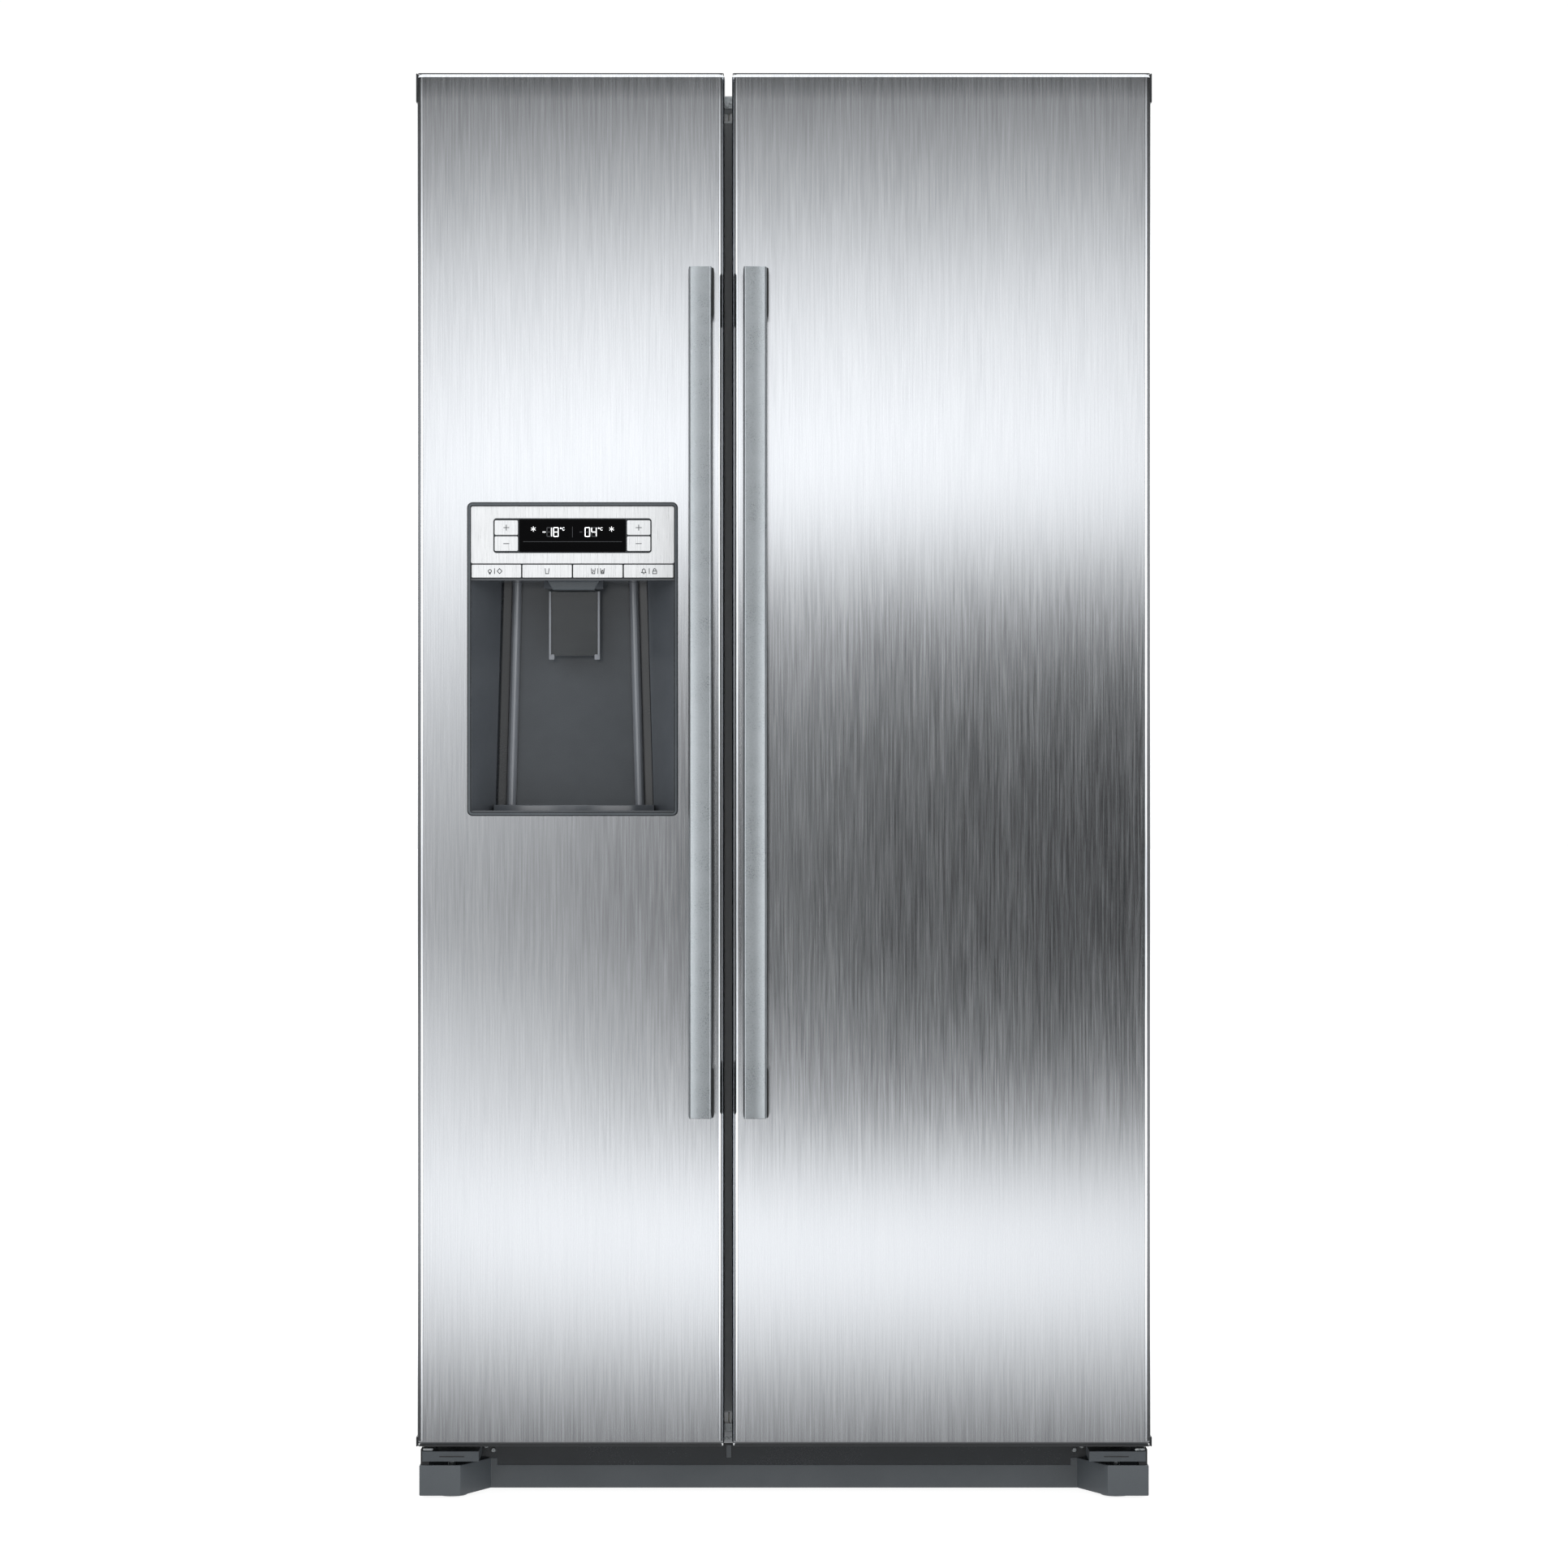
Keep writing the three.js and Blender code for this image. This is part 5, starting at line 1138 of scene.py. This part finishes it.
case_low, case_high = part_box("outer_case")
cover_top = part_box("machine_cover")[1].z
SCREW_HEIGHTS = (0.36, 0.7, 1.04, 1.38, 1.72)
SCREW_COLUMNS = (-0.3, 0.0, 0.3)
SCREW_INSET = 12 * MM
BEAD_HEIGHTS = (0.62, 0.95, 1.28, 1.58)
BEAD_INSET = 60 * MM
BEAD_HALF = 9 * MM
BEAD_RISE = 1.8 * MM


def back_screws():
    """Cross-slotted screws round the back sheet and over the machine cover."""
    heads = []
    for height in SCREW_HEIGHTS:
        heads += [(case_low.x + SCREW_INSET, height), (case_high.x - SCREW_INSET, height)]
    for across in SCREW_COLUMNS:
        heads += [(across, case_high.z - SCREW_INSET), (across, cover_top + 14 * MM)]
    face = case_high.y
    mesh = bmesh.new()
    for x, z in heads:
        rod(mesh, (x, face - 0.5 * MM, z), (x, face + 0.6 * MM, z), 4 * MM, 24)
        rod(mesh, (x, face + 0.6 * MM, z), (x, face + 1.6 * MM, z), 3.8 * MM, 24, 2.4 * MM)
        for turn in (0.3, 0.3 + math.pi / 2):
            bar = block(mesh, (-2 * MM, 0, -0.3 * MM), (2 * MM, 0.15 * MM, 0.3 * MM))
            way = Matrix.Translation((x, face + 1.55 * MM, z)) @ Matrix.Rotation(turn, 4, "Y")
            bmesh.ops.transform(mesh, matrix=way, verts=bar)
    return piece("back_screws", mesh, SCREW, "cabinet")


def back_sheet_beads():
    """Flat ribs with round ends, pressed in the back sheet."""
    crest = case_high.y + BEAD_RISE
    mesh = bmesh.new()
    for height in BEAD_HEIGHTS:
        rounded_block(mesh, (case_low.x + BEAD_INSET, case_high.y - MM, height - BEAD_HALF),
                      (case_high.x - BEAD_INSET, crest, height + BEAD_HALF), BEAD_HALF - 0.5 * MM, 6, Y)

        def on_the_crest(p):
            return p.y > crest - 0.1 * MM and abs(p.z - height) < BEAD_HALF + MM

        round_off(mesh, edges_of(mesh, mesh.verts, where=on_the_crest), 1.5 * MM, 3)
    return piece("back_sheet_beads", mesh, CASE, "cabinet", angle=40)


back_screws()
back_sheet_beads()

# ---------------------------------------- gap and base

CASE_FRONT = case_low.y
rail_low, rail_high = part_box("centre_rail")
gap_middle = (rail_low.x + rail_high.x) / 2
flange = CASE_FRONT - 1.4 * MM
kick_low, kick_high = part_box("kick_plate")
chassis_low, chassis_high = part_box("base_chassis")
door_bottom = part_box("fridge_door_skin")[0].z
apron_front = CASE_FRONT + 0.5 * MM


def small_parts(name, finish, boxes, screws=(), edge=0.5 * MM):
    """Small fixed parts of the cabinet: rounded blocks, and screws with a cross slot, given by the middles of
    their heads and their radii."""
    mesh = bmesh.new()
    for low, high in boxes:
        rounded_block(mesh, low, high, edge)
    for (x, y, z), radius in screws:
        rod(mesh, (x, y + 0.4 * MM, z), (x, y, z), radius, 20)
        rod(mesh, (x, y, z), (x, y - 1.1 * MM, z), radius, 20, radius * 0.7)
        for turn in (0.4, 0.4 + math.pi / 2):
            dx, dz = radius * 0.5 * math.cos(turn), radius * 0.5 * math.sin(turn)
            stroke(mesh, [(x - dx, z - dz), (x + dx, z + dz)], 0.5 * MM, y - 1.1 * MM, 0.1 * MM)
    return piece(name, mesh, finish, "cabinet")


def over_gap(half, front, back, bottom, top):
    """The corners of a block that is centred on the gap between the doors."""
    return (gap_middle - half, front, bottom), (gap_middle + half, back, top)


def hinge_details(node, side):
    """The slot, the end block, the tab and the screws at a bottom hinge. side is -1 or 1."""
    low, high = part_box(node)
    plate_top = low.z + 12.4 * MM
    outside, inside = (low.x, high.x) if side < 0 else (high.x, low.x)
    slot_a, slot_b = span(outside, -side, 22 * MM, 53 * MM)
    end_a, end_b = span(outside, -side, 9 * MM, -1.5 * MM)
    tab_a, tab_b = span(outside, -side, 2 * MM, 14 * MM)
    small_parts(node + "_slot", NYLON, [
        ((slot_a, low.y - 0.3 * MM, plate_top - 7 * MM), (slot_b, low.y + MM, plate_top - 5.4 * MM)),
        ((end_a, low.y + 6 * MM, low.z - 7 * MM), (end_b, low.y + 30 * MM, plate_top + 2 * MM)),
    ], edge=0.3 * MM)
    small_parts(node + "_tab", ZINC, [
        ((tab_a, low.y + 2 * MM, plate_top + 0.5 * MM), (tab_b, low.y + 20 * MM, plate_top + 3.5 * MM)),
    ], [
        ((inside - side * 5 * MM, apron_front - 0.6 * MM, plate_top - 3 * MM), 3.4 * MM),
        ((inside - side * 14 * MM, apron_front - 0.6 * MM, plate_top - 8 * MM), 3.4 * MM),
    ])


small_parts("gap_metal", ZINC, [
    over_gap(12 * MM, flange, CASE_FRONT, rail_high.z + 16 * MM, rail_high.z + 31 * MM),
    over_gap(9 * MM, flange, CASE_FRONT, rail_low.z - 24 * MM, rail_low.z - 14 * MM),
], [
    ((gap_middle - 2.2 * MM, flange, rail_high.z + 19 * MM), 2.1 * MM),
    ((gap_middle + 2.4 * MM, flange, rail_high.z + 23 * MM), 2.1 * MM),
    ((gap_middle - 2.6 * MM, CASE_FRONT, rail_low.z - 33 * MM), 2.2 * MM),
    ((gap_middle + 2.6 * MM, CASE_FRONT, rail_low.z - 33 * MM), 2.2 * MM),
])
# Silver strips along the rail's top and bottom ends: painted highlights for the bright lines of light on its
# edges.
small_parts("rail_end_highlights", TRIM, [
    ((rail_low.x, rail_low.y - 0.6 * MM, rail_high.z - 2.5 * MM), (rail_high.x, rail_high.y, rail_high.z)),
    ((rail_low.x, rail_low.y - 0.6 * MM, rail_low.z), (rail_high.x, rail_high.y, rail_low.z + 1.5 * MM)),
])
# A near-black panel under the doors, in front of the chassis: partly a real dark panel, and its near-black
# also paints the shade that falls under the doors.
small_parts("base_apron_painted_shade", RIM_DARK, [
    ((chassis_low.x, apron_front, kick_low.z + 4 * MM),
     (chassis_high.x, chassis_low.y - 0.2 * MM, door_bottom - 7 * MM)),
])
small_parts("apron_rib", KICK, [
    over_gap(3 * MM, apron_front - 2 * MM, apron_front, kick_high.z, door_bottom - 8 * MM),
])
for node, side in zip(BOTTOM_HINGES, (-1, 1)):
    hinge_details(node, side)

# The rim, the niche and the tray stand for the housing.
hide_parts("dispenser_housing")
